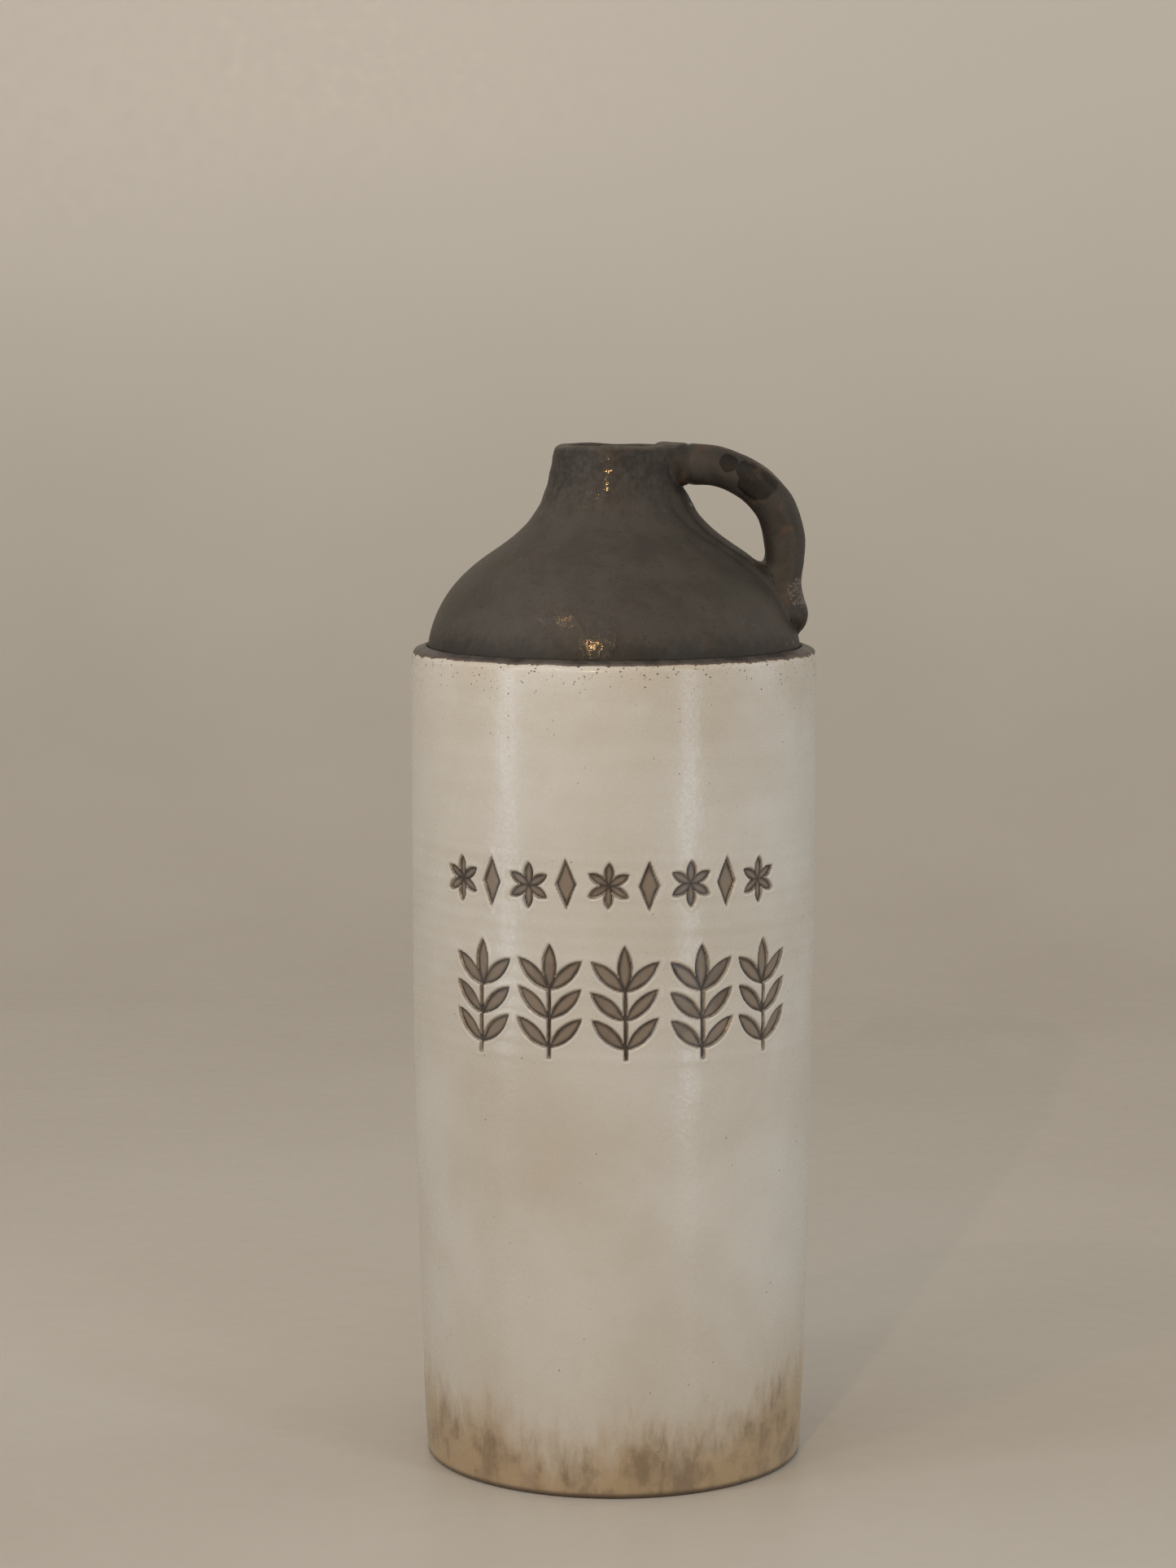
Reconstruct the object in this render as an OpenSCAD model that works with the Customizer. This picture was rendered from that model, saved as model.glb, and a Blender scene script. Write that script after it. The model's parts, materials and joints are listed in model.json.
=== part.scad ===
// Stoneware jug with a one-finger loop handle, built from thrown, coiled and stamped pieces of clay.
// Millimetres, +Z up, the floor at Z = 0, the jug's axis on Z and the handle over +X. The front is -Y.

/* [Body] */
// Greatest radius of the body, a little under the ledge
body_r = 70.4; // [64:0.1:90]
// How much narrower the body is where it stands on the floor
body_taper = 4.5; // [0:0.1:12]
// Height of the ledge's outer edge
body_h = 282.8; // [236:0.2:340]
// Thickness of the body wall
body_wall_t = 6; // [4:0.25:8]
// Thickness of the base disc
base_t = 8; // [5:0.5:14]
// Rounding of the foot's outer edge
foot_round = 1.6; // [0.5:0.1:3]
// Height over which the body draws in to the ledge's edge
ledge_draw_h = 13; // [6:0.5:20]
// How far the body draws in at the ledge's edge
ledge_draw_in = 0.5; // [0.3:0.1:2.5]

/* [Ledge] */
// Width of the sloping ledge, from its edge to the shoulder's foot
ledge_w = 5.3; // [3:0.1:7]
// Height of the sloping ledge, from its edge to the groove
ledge_rise = 1.6; // [1:0.1:5]
// Rounding of the ledge's outer edge, seen from the side
ledge_edge = 2; // [0.4:0.1:2]
// Width of the groove between the ledge and the shoulder's foot
groove_w = 0.4; // [0.2:0.05:1]
// Depth of that groove
groove_d = 0.6; // [0.3:0.1:1.5]
// Thickness of the folded rim that carries the shoulder
ledge_t = 7; // [4:0.5:12]
// Thickness of the dark glaze that runs over the ledge
glaze_t = 0.5; // [0.2:0.05:0.8]

/* [Shoulder] */
// Height from the shoulder's foot to the turn of its curve
shoulder_rise = 33.1; // [24:0.1:45]
// Outer radius at the turn of the curve
turn_r = 42.1; // [34:0.1:48]
// Slope of the shoulder at the turn, degrees below level
turn_slope = 33.3; // [25:0.1:45]
// Thickness of the shoulder wall
shoulder_wall_t = 6; // [4:0.25:7]

/* [Neck] */
// Radius of the mouth's bore
bore_r = 15.25; // [11:0.05:19]
// Thickness of the neck's wall at the mouth
neck_wall_t = 5.25; // [4:0.25:8]
// Height from the turn of the shoulder's curve to the mouth
neck_rise = 37; // [30:0.1:50]
// Length of the separate neck ring
neck_ring_h = 20; // [14:0.5:26]
// Rounding of the mouth's outer edge
rim_round_out = 2.4; // [1:0.1:3]
// Rounding of the mouth's inner edge
rim_round_in = 1.2; // [0.5:0.1:2]
// How much wider than the bore the throat is where it passes the neck's seam
throat_clear = 0.4; // [0.2:0.05:1]

/* [Handle] */
// Thickness of the strap, across its bend
strap_t = 14; // [8:0.25:18]
// Width of the strap
strap_w = 23; // [20:0.5:34]
// Radius of the strap's bend, to the middle of the strap
bend_r = 28; // [22:0.5:36]
// Height of the strap's top above the mouth
strap_over_rim = 0.5; // [-4:0.1:3]
// How far the middle of the strap's upright part stands in from the shoulder's foot
strap_in = 6.1; // [3:0.1:12]
// Length of the joint pad, from the neck's wall at the mouth
pad_l = 4.8; // [3:0.1:8]
// How far the pad stands out round the strap
pad_lip = 0.3; // [0.1:0.1:1]
// Height of the strap's lower end above the point where its middle would meet the shoulder
tail_over = 3.3; // [0.5:0.1:6]
// How far the pressed tail spreads past the strap on each side
tail_flare = 3.5; // [0:0.25:8]
// How far the tail stands out past the shoulder's foot
tail_out = 2.4; // [0:0.1:5]
// Radius of the tail's three lobes
lobe_r = 5; // [4:0.25:6]
// Radius of the tail's tip
tip_r = 2.6; // [1.5:0.1:3.5]

/* [Seam coils] */
// Size of the coil smoothed into the corner of the floor
floor_coil_s = 10; // [5:0.5:16]
// Radius of the coil pressed over the shoulder's seam
shoulder_coil_r = 3; // [1.5:0.25:5]

/* [Stamps] */
// Depth of the stamped marks
stamp_d = 1.4; // [0.6:0.1:2.2]
// Thickness of the oxide wash that lies in them
wash_t = 0.5; // [0.2:0.05:0.6]
// Height of the large sprigs
sprig_h = 39; // [26:0.5:44]
// Height of the middle of the large row
sprig_z = 170.8; // [120:0.1:172]
// Number of sprigs
sprig_n = 5; // [3:1:5]
// Angle from one sprig to the next
sprig_step = 21.6; // [18:0.1:26]
// Angle of the middle of the large row, from the front
sprig_mid = 3; // [-20:0.5:20]
// Width of a leaf
leaf_w = 5.3; // [3.5:0.1:6]
// Width of a stem
stem_w = 1.6; // [1:0.1:2.4]
// Height of the small marks
mark_h = 17.4; // [10:0.2:20]
// Height of the middle of the small row
mark_z = 210.2; // [202:0.1:225]
// Number of small marks, rosettes and lozenges in turn
mark_n = 9; // [5:2:9]
// Angle from one small mark to the next
mark_step = 11.4; // [10:0.1:14]
// Angle of the middle of the small row, from the front
mark_mid = -1.8; // [-20:0.1:20]
// Width of a rosette's petal
petal_w = 3.6; // [2:0.1:4.4]
// Width of a lozenge
lozenge_w = 7.4; // [5:0.1:9]

/* [Hidden] */
$fn = 96;

cream = "#b0a694";
cream_bare = "#a08f78";
dark_glaze = "#4b443e";
wash_brown = "#463a31";

swell = 2.5;            // how early the body fills out to its greatest radius
body_steps = 8;
curve_steps = 12;
edge_steps = 5;
overcut = 5;            // how far a cutter runs past what it cuts

base_r = body_r - body_taper;
inner_base_r = base_r - body_wall_t;
edge_r = body_r - ledge_draw_in;
shoulder_r = edge_r - ledge_w;
neck_r = bore_r + neck_wall_t;
wide_z = body_h - ledge_draw_h;
ledge_top_z = body_h + ledge_rise;
seat_z = ledge_top_z - groove_d;
groove_r = shoulder_r + groove_w;
seat_in_r = shoulder_r - shoulder_wall_t;
turn_z = seat_z + shoulder_rise;
mouth_z = turn_z + neck_rise;
neck_seat_z = mouth_z - neck_ring_h;
coil_land = shoulder_coil_r + 1;
ledge_start = [edge_r - ledge_edge, body_h + 0.3 * ledge_edge];

function bez2(a, b, c, n) = [for (i = [0:n]) let (t = i / n)
    (1 - t) * (1 - t) * a + 2 * t * (1 - t) * b + t * t * c];
function bez3(a, b, c, d, n) = [for (i = [0:n]) let (t = i / n, s = 1 - t)
    s * s * s * a + 3 * s * s * t * b + 3 * s * t * t * c + t * t * t * d];
function body_out(z) = base_r + (body_r - base_r) * (1 - pow(1 - z / wide_z, swell));
function arc(c, r, from, to, n) = [for (i = [0:n]) let (a = from + (to - from) * i / n)
    c + r * [cos(a), sin(a)]];

// Outline points from the foot up to the groove, inset by d for the stamps' floors.
function body_side(d = 0) = concat(
    arc([base_r - foot_round, foot_round], max(foot_round - d, 0.1), -90, 0, edge_steps),
    [for (i = [1:body_steps]) let (z = wide_z * i / body_steps) [body_out(z) - d, z]],
    bez2([body_r - d, wide_z], [body_r - d, wide_z + ledge_draw_h / 2],
         [edge_r - d, body_h - ledge_edge], edge_steps));
function ledge_points() = concat(
    bez2([edge_r, body_h - ledge_edge], [edge_r, body_h], ledge_start, edge_steps),
    [[groove_r, ledge_top_z]]);

/* Curves of the shoulder and the neck */
foot_lean = 81;         // angle of the shoulder's wall at its foot
mouth_lean = 82.4;      // angle of the neck's wall at the mouth
slope_dir = [cos(turn_slope), -sin(turn_slope)];
dome_foot = [shoulder_r, seat_z];
dome_turn = [turn_r, turn_z];
neck_top = [neck_r, mouth_z];
dome_len = norm(dome_turn - dome_foot);
neck_len = norm(neck_top - dome_turn);
dome_out = bez3(dome_foot, dome_foot + 0.355 * dome_len * [-cos(foot_lean), sin(foot_lean)],
    dome_turn + 0.377 * dome_len * slope_dir, dome_turn, curve_steps);
neck_out = bez3(dome_turn, dome_turn - 0.438 * neck_len * slope_dir,
    neck_top + 0.494 * neck_len * [cos(mouth_lean), -sin(mouth_lean)], neck_top, curve_steps);
dome_in_foot = [seat_in_r, seat_z + coil_land];
dome_in_turn = dome_turn - shoulder_wall_t * [sin(turn_slope), cos(turn_slope)];
throat = [bore_r + throat_clear, neck_seat_z];
dome_in_len = norm(dome_in_turn - dome_in_foot);
throat_len = norm(throat - dome_in_turn);
dome_in = bez3(dome_in_foot, dome_in_foot + [0, 0.36 * dome_in_len],
    dome_in_turn + 0.38 * dome_in_len * slope_dir, dome_in_turn, curve_steps);
throat_in = bez3(dome_in_turn, dome_in_turn - 0.4 * throat_len * slope_dir,
    throat - [0, 0.4 * throat_len], throat, curve_steps);

module upper_outline() {
    polygon(concat([[0, seat_z]], dome_out, neck_out, [[0, mouth_z]]));
}

module base_disc() color(cream_bare)
    cylinder(h = base_t, r = inner_base_r);

module body_shell(d = 0) {
    rotate_extrude() polygon(concat([[0, 0]], body_side(d), [[0, body_h - ledge_edge]]));
}

module body_wall() color(cream) difference() {
    rotate_extrude() polygon(concat(
        [[inner_base_r, 0]], body_side(), ledge_points(),
        [[groove_r, seat_z], [seat_in_r, seat_z], [seat_in_r, body_h - ledge_t],
         [body_out(wide_z - ledge_t) - body_wall_t, wide_z - ledge_t]],
        [for (i = [body_steps - 1:-1:1]) let (z = wide_z * i / body_steps)
            [body_out(z) - body_wall_t, z]],
        [[inner_base_r, base_t + floor_coil_s]]));
    stamp_pockets() {
        sprigs();
        marks();
    }
}

module floor_coil() color(cream_bare) rotate_extrude() polygon(concat(
    [[inner_base_r, base_t]],
    arc([inner_base_r - floor_coil_s, base_t + floor_coil_s], floor_coil_s, 0, -90, curve_steps)));

module shoulder_dome() color(dark_glaze) rotate_extrude() intersection() {
    difference() {
        upper_outline();
        polygon(concat([[0, seat_z - overcut], [seat_in_r, seat_z - overcut]],
            dome_in, throat_in, [[bore_r + throat_clear, mouth_z + overcut], [0, mouth_z + overcut]]));
    }
    translate([0, seat_z]) square([shoulder_r + overcut, neck_seat_z - seat_z]);
}

module shoulder_coil() color(cream_bare) rotate_extrude() polygon(
    arc([seat_in_r, seat_z], shoulder_coil_r, 90, 270, curve_steps));

module neck_ring() color(dark_glaze) rotate_extrude() intersection() {
    difference() {
        upper_outline();
        translate([0, neck_seat_z - overcut]) square([bore_r, neck_ring_h + 2 * overcut]);
        difference() {
            translate([neck_r - rim_round_out, mouth_z - rim_round_out]) square(rim_round_out + overcut);
            translate([neck_r - rim_round_out, mouth_z - rim_round_out]) circle(rim_round_out);
        }
        difference() {
            translate([bore_r, mouth_z - rim_round_in]) square([rim_round_in, rim_round_in + overcut]);
            translate([bore_r + rim_round_in, mouth_z - rim_round_in]) circle(rim_round_in);
        }
    }
    translate([0, neck_seat_z]) square([shoulder_r, neck_ring_h + overcut]);
}

/* Handle: a level run from the neck, a quarter bend, and an upright run to the tail */
strap_top_z = mouth_z + strap_over_rim - strap_t / 2;
strap_reach = shoulder_r - strap_in;
bend_x = strap_reach - bend_r;
bend_z = strap_top_z - bend_r;
tail_z = lookup(strap_reach, [for (i = [curve_steps:-1:0]) dome_out[i]]) + tail_over;
pad_end_x = neck_r + pad_l;

// A strap's section, thick along X and wide along Y, with fully rounded edges.
module strap_section(grow = 0) {
    side = strap_w / 2 - strap_t / 2;
    square([strap_t + 2 * grow, 2 * side], center = true);
    for (s = [-1, 1]) translate([0, s * side]) circle(strap_t / 2 + grow);
}

module upper_solid() rotate_extrude() upper_outline();

module handle_strap() color(dark_glaze) difference() {
    union() {
        translate([bend_x, 0, strap_top_z]) rotate([0, -90, 0])
            linear_extrude(bend_x - pad_end_x) strap_section();
        translate([bend_x, 0, bend_z]) rotate([90, 0, 0])
            rotate_extrude(angle = 90) translate([bend_r, 0]) strap_section();
        translate([strap_reach, 0, bend_z]) mirror([0, 0, 1])
            linear_extrude(bend_z - tail_z) strap_section();
    }
    upper_solid();
}

module handle_upper_pad() color(dark_glaze) difference() {
    translate([0, 0, strap_top_z]) rotate([0, 90, 0]) linear_extrude(pad_end_x) strap_section(pad_lip);
    upper_solid();
    translate([0, 0, strap_top_z - strap_t]) cylinder(h = 2 * strap_t, r = neck_r);
}

// The tail swells out under the strap, spreads sideways and thins to a point on the shoulder.
lobe_z = tail_z - 1.5 * lobe_r;
side_lobe_x = strap_reach - 0.1 * lobe_r;
side_lobe_y = strap_w / 2 + tail_flare - lobe_r;
tip_z = seat_z + 3 * tip_r;
lap_h = 0.5;            // height of the tail that has the strap's own section

module handle_lower_tail() color(dark_glaze) difference() {
    hull($fn = 32) {
        translate([strap_reach, 0, tail_z - lap_h]) linear_extrude(lap_h) strap_section();
        for (s = [-1, 1]) translate([side_lobe_x, s * side_lobe_y, lobe_z]) sphere(lobe_r);
        translate([shoulder_r + tail_out - lobe_r, 0, lobe_z]) sphere(lobe_r);
        translate([shoulder_r - tip_r, 0, tip_z]) sphere(tip_r);
    }
    upper_solid();
}

module ledge_glaze() color(dark_glaze) rotate_extrude() polygon([
    ledge_start, [groove_r, ledge_top_z], [groove_r, ledge_top_z + glaze_t],
    ledge_start + [0, glaze_t]]);

/* Stamps */
// A pointed leaf, l long and w wide, with its base at the origin and its tip along +Y.
module leaf(l, w) {
    r = (l * l / 4 + w * w / 4) / w;
    intersection() {
        translate([w / 2 - r, l / 2]) circle(r);
        translate([r - w / 2, l / 2]) circle(r);
    }
}

module sprig() {
    leaf_l = sprig_h * 0.4;
    translate([-stem_w / 2, -sprig_h / 2]) square([stem_w, sprig_h * 0.7]);
    translate([0, sprig_h / 2 - leaf_l]) leaf(leaf_l, leaf_w);
    for (i = [0:2], s = [-1, 1])
        translate([0, -sprig_h * 0.41 + i * sprig_h * 0.25]) rotate(s * 48) leaf(leaf_l, leaf_w);
}

module rosette() {
    circle(petal_w * 0.5);
    for (i = [0:5]) rotate(i * 60) leaf(mark_h * 0.46, petal_w);
}

module lozenge() polygon([
    [0, -mark_h / 2], [lozenge_w / 2, 0], [0, mark_h / 2], [-lozenge_w / 2, 0]]);

// Carries a flat mark out to the body's side, at an angle from the front and a height.
module on_side(angle, z) rotate([0, 0, angle]) translate([0, -body_r / 2, z])
    rotate([90, 0, 0]) linear_extrude(body_r / 2 + overcut) children();

module sprigs() for (i = [0:sprig_n - 1])
    on_side(sprig_mid + sprig_step * (i - (sprig_n - 1) / 2), sprig_z) sprig();

module marks() for (i = [0:mark_n - 1])
    on_side(mark_mid + mark_step * (i - (mark_n - 1) / 2), mark_z) if (i % 2 == 0) rosette(); else lozenge();

module stamp_pockets() difference() {
    children();
    body_shell(stamp_d);
}

module stamp_wash() intersection() {
    difference() {
        children();
        body_shell(stamp_d);
    }
    body_shell(stamp_d - wash_t);
}

module small_stamp_wash() color(wash_brown) stamp_wash() marks();

module large_stamp_wash() color(wash_brown) stamp_wash() sprigs();

base_disc();
body_wall();
floor_coil();
shoulder_dome();
shoulder_coil();
neck_ring();
handle_strap();
handle_upper_pad();
handle_lower_tail();
ledge_glaze();
small_stamp_wash();
large_stamp_wash();
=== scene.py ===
import json
import math

import bmesh
import bpy
import numpy as np
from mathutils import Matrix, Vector

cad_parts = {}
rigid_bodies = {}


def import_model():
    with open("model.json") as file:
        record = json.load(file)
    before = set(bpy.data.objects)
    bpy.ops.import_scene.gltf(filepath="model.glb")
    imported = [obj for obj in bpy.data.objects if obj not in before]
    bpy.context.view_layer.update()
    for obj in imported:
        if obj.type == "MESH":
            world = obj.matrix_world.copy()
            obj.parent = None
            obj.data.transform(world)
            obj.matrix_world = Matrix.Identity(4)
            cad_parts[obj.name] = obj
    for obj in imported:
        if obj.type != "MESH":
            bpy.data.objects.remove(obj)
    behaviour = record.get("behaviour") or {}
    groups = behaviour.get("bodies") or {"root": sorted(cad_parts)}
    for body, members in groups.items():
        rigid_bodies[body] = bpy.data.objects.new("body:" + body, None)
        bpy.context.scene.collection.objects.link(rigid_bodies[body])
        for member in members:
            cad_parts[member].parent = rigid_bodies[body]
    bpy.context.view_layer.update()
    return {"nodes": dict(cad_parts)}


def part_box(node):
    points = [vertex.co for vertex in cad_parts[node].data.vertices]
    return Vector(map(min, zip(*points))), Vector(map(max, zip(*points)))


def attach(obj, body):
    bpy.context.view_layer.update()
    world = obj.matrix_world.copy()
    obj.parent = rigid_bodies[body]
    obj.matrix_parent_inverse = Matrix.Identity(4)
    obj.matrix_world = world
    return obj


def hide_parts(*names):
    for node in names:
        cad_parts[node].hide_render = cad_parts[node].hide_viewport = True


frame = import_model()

mm = 0.001
scene = bpy.context.scene

# Shapes are worked out in millimetres and put into the scene in metres.
# The front of the jug is -Y, its handle is over +X and its axis is Z.


def nodeBox(name):
    low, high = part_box(name)
    return [c / mm for c in low], [c / mm for c in high]


bodyHigh = nodeBox("body_wall")[1]
domeLow, domeHigh = nodeBox("shoulder_dome")
neckLow, neckHigh = nodeBox("neck_ring")
strapHigh = nodeBox("handle_strap")[1]

jug = {
    "bodyR": bodyHigh[0],
    "taper": 4.5,               # how much narrower the foot is
    "wall": 6.0,
    "footRound": 1.6,
    "ledgeTop": bodyHigh[2],
    "ledgeEdge": bodyHigh[2] - 1.6,
    "ledgeRound": 2.0,
    "drawHeight": 13.0,         # height over which the body draws in to the ledge
    "drawIn": 0.5,
    "shoulderR": domeHigh[0],
    "seat": domeLow[2],
    "shoulderWall": 6.0,
    "turnR": 42.1,              # where the shoulder's curve turns into the neck's
    "turnRise": 33.1,
    "turnSlope": math.radians(33.3),
    "mouth": neckHigh[2],
    "neckR": 20.5,
    "boreR": 15.25,
    "neckSeat": neckLow[2],
    "swell": 2.5,
}
wideZ = jug["ledgeEdge"] - jug["drawHeight"]
baseR = jug["bodyR"] - jug["taper"]


def bezier(points, steps):
    t = np.linspace(0, 1, steps + 1)[:, None]
    p = [np.array(q, float) for q in points]
    if len(p) == 3:
        return (1 - t) ** 2 * p[0] + 2 * t * (1 - t) * p[1] + t * t * p[2]
    return (1 - t) ** 3 * p[0] + 3 * (1 - t) ** 2 * t * p[1] + 3 * (1 - t) * t * t * p[2] + t ** 3 * p[3]


def arcPoints(centre, radius, start, end, steps):
    a = np.radians(np.linspace(start, end, steps + 1))
    return np.stack([centre[0] + radius * np.cos(a), centre[1] + radius * np.sin(a)], 1)


def bodyRadius(z):
    t = np.clip(1 - np.asarray(z, float) / wideZ, 0, 1)
    return baseR + (jug["bodyR"] - baseR) * (1 - t ** jug["swell"])


def smooth(t):
    t = np.clip(t, 0, 1)
    return t * t * (3 - 2 * t)


def ripple(x, y, z, size, seed):
    # a soft, repeatable unevenness of about one wave each "size" millimetres, from -1 to 1
    rng = np.random.default_rng(seed)
    total = np.zeros(np.broadcast(x, y, z).shape)
    for wave in range(6):
        way = rng.normal(size=3)
        way *= rng.uniform(0.7, 1.4) * 2 * math.pi / size / np.linalg.norm(way)
        total += np.sin(x * way[0] + y * way[1] + z * way[2] + rng.uniform(0, 2 * math.pi))
    return total / 3.5


def makeMesh(name, verts, faces, attributes=None):
    mesh = bpy.data.meshes.new(name)
    mesh.from_pydata((np.asarray(verts) * mm).tolist(), [], faces)
    for key, values in (attributes or {}).items():
        layer = mesh.attributes.new(key, "FLOAT", "POINT")
        layer.data.foreach_set("value", np.asarray(values, np.float32))
    mesh.shade_smooth()
    obj = bpy.data.objects.new(name, mesh)
    scene.collection.objects.link(obj)
    return obj


def ringFaces(rows, columns, closedRows):
    # quads of a grid whose columns go round the axis, facing outwards for rows that run upwards
    i = np.arange(rows if closedRows else rows - 1)[:, None]
    j = np.arange(columns)[None, :]
    a = i * columns + j
    b = i * columns + (j + 1) % columns
    up = ((i + 1) % rows) * columns
    quads = np.stack([a, b, up + (j + 1) % columns, up + j], -1).reshape(-1, 4)
    return quads.tolist()


# Stamps
stamps = {
    "depth": 1.4,
    "washThickness": 0.5,
    "washLift": 0.22,           # the wash stands this far above the pressed floor
    "sprigCount": 5, "sprigStep": 21.6, "sprigMiddle": 3.0, "sprigZ": 170.8, "sprigHeight": 39.0,
    "leafWidth": 5.3, "stemWidth": 1.6, "leafTurn": 48.0,
    "markCount": 9, "markStep": 11.4, "markMiddle": -1.8, "markZ": 210.2, "markHeight": 17.4,
    "petalWidth": 3.6, "lozengeWidth": 7.4,
    "slip": 0.45,               # how far a hand-pressed stamp strays, mm
    "tilt": 1.6,                # and how far it leans, degrees
}
lens, diamond, bar = 0.0, 1.0, 2.0


def stampRow(kind):
    # Every stroke of one row: its root on the unrolled wall, its direction, size, depth and form.
    rng = np.random.default_rng(41 if kind == "sprig" else 17)
    count, step, middle = (stamps[kind + key] for key in ("Count", "Step", "Middle"))
    strokes = []
    for i in range(count):
        angle = middle + step * (i - (count - 1) / 2)
        x0 = math.radians(angle) * jug["bodyR"] + rng.uniform(-1, 1) * stamps["slip"]
        z0 = stamps[kind + "Z"] + rng.uniform(-1, 1) * stamps["slip"]
        lean = math.radians(rng.uniform(-1, 1) * stamps["tilt"])
        depth = stamps["depth"] * rng.uniform(0.78, 1.0)
        height = stamps[kind + "Height"]

        def stroke(x, y, turn, length, width, form, lift=0.0):
            c, s = math.cos(lean), math.sin(lean)
            strokes.append((x0 + x * c - y * s, z0 + x * s + y * c, lean + turn, length, width,
                            depth - lift, form))

        if kind == "sprig":
            leafLength = 0.4 * height
            stroke(0, -height / 2, 0, 0.7 * height, stamps["stemWidth"], bar, -0.06)
            stroke(0, height / 2 - leafLength, 0, leafLength, stamps["leafWidth"], lens)
            for pair in range(3):
                for side in (-1, 1):
                    turn = math.radians(side * stamps["leafTurn"] + rng.uniform(-2, 2))
                    stroke(0, (-0.41 + 0.25 * pair) * height, turn, leafLength, stamps["leafWidth"],
                           lens, 0.03 * side)
        elif i % 2 == 0:
            width = stamps["petalWidth"]
            stroke(0, -width / 2, 0, width, width, lens, -0.06)
            for petal in range(6):
                stroke(0, 0, math.radians(60 * petal), 0.46 * height, width, lens)
        else:
            stroke(0, -height / 2, 0, height, stamps["lozengeWidth"], diamond)
    return np.array(strokes)


def strokeDistance(x, z, stroke):
    # signed distance to a stroke's outline, under zero inside
    x0, z0, turn, length, width, _, form = stroke
    across = (x - x0) * math.cos(turn) + (z - z0) * math.sin(turn)
    along = -(x - x0) * math.sin(turn) + (z - z0) * math.cos(turn) - length / 2
    if form == lens:
        radius = (length ** 2 + width ** 2) / (4 * width)
        offset = radius - width / 2
        return np.hypot(np.abs(across) + offset, along) - radius
    if form == diamond:
        norm = math.hypot(width, length)
        return (np.abs(across) * length + np.abs(along) * width - width * length / 2) / norm
    return np.maximum(np.abs(across) - width / 2, np.abs(along) - length / 2)


sprigStrokes = stampRow("sprig")
markStrokes = stampRow("mark")


def pressedIn(x, z):
    # depth of the pressed marks on the unrolled wall, and how far inside a mark each point lies
    deep = np.zeros(x.shape)
    pit = np.zeros(x.shape)
    outside = np.full(x.shape, 9.0)
    for stroke in np.vstack([sprigStrokes, markStrokes]):
        close = (np.abs(x - stroke[0]) < stroke[3] + 3) & (np.abs(z - stroke[1]) < stroke[3] + 3)
        if not close.any():
            continue
        d = strokeDistance(x[close], z[close], stroke)
        t = smooth((0.25 - d) / 0.75)
        deep[close] = np.maximum(deep[close], stroke[5] * t)
        pit[close] = np.maximum(pit[close], t)
        outside[close] = np.minimum(outside[close], d)
    lip = 0.13 * np.exp(-((outside - 0.8) / 0.45) ** 2)
    return deep - lip, pit


# Body
body = {
    "fineFrom": -61.0, "fineTo": 63.0, "fineStep": 0.43,    # angles with a fine grid, degrees
    "coarseStep": 2.2,
    "rowFineFrom": 148.0, "rowFineTo": 222.0, "rowFine": 0.54,
    "rowCoarse": 5.0,
    "ridgeZ": 252.0,            # the throwing line under the ledge
    "skinIn": 0.12,             # how far the wavy skin lies in from the turned wall
}


def ledgeLip(steps):
    # the ledge's rounded edge, from the wall up to where its gentle slope begins
    edge = jug["bodyR"] - jug["drawIn"]
    return bezier([(edge, jug["ledgeEdge"] - jug["ledgeRound"]), (edge, jug["ledgeEdge"]),
                   (edge - jug["ledgeRound"], jug["ledgeEdge"] + 0.3 * jug["ledgeRound"])], steps)


def bodyRows():
    # (r, z) from the bottom's inner edge, up the outside, over the ledge and down the inside
    foot = arcPoints((baseR - jug["footRound"], jug["footRound"]), jug["footRound"], -90, 0, 6)
    low = np.arange(4.0, body["rowFineFrom"], body["rowCoarse"])
    fine = np.arange(body["rowFineFrom"], body["rowFineTo"], body["rowFine"])
    high = np.arange(body["rowFineTo"], wideZ, 2.6)
    side = np.concatenate([low, fine, high])
    edge = jug["bodyR"] - jug["drawIn"]
    drawn = bezier([(jug["bodyR"], wideZ), (jug["bodyR"], wideZ + 6),
                    (edge, jug["ledgeEdge"] - jug["ledgeRound"])], 6)
    over = ledgeLip(6)
    inner = jug["shoulderR"] - jug["shoulderWall"]
    rest = [(jug["shoulderR"] + 0.4, jug["ledgeTop"]), (jug["shoulderR"] + 0.4, jug["seat"]),
            (inner, jug["seat"]), (inner, jug["ledgeEdge"] - 7),
            (float(bodyRadius(wideZ - 7)) - jug["wall"], wideZ - 7)]
    inside = [(float(bodyRadius(z)) - jug["wall"], z) for z in (220, 180, 140, 100, 60, 30)]
    inside += [(baseR - jug["wall"], 18), (baseR - jug["wall"], 0)]
    rows = np.concatenate([foot, np.stack([bodyRadius(side), side], 1), drawn, over[1:],
                           np.array(rest), np.array(inside)])
    outer = len(foot) + len(side) + len(drawn) + len(over) - 1
    return rows, outer


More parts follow.
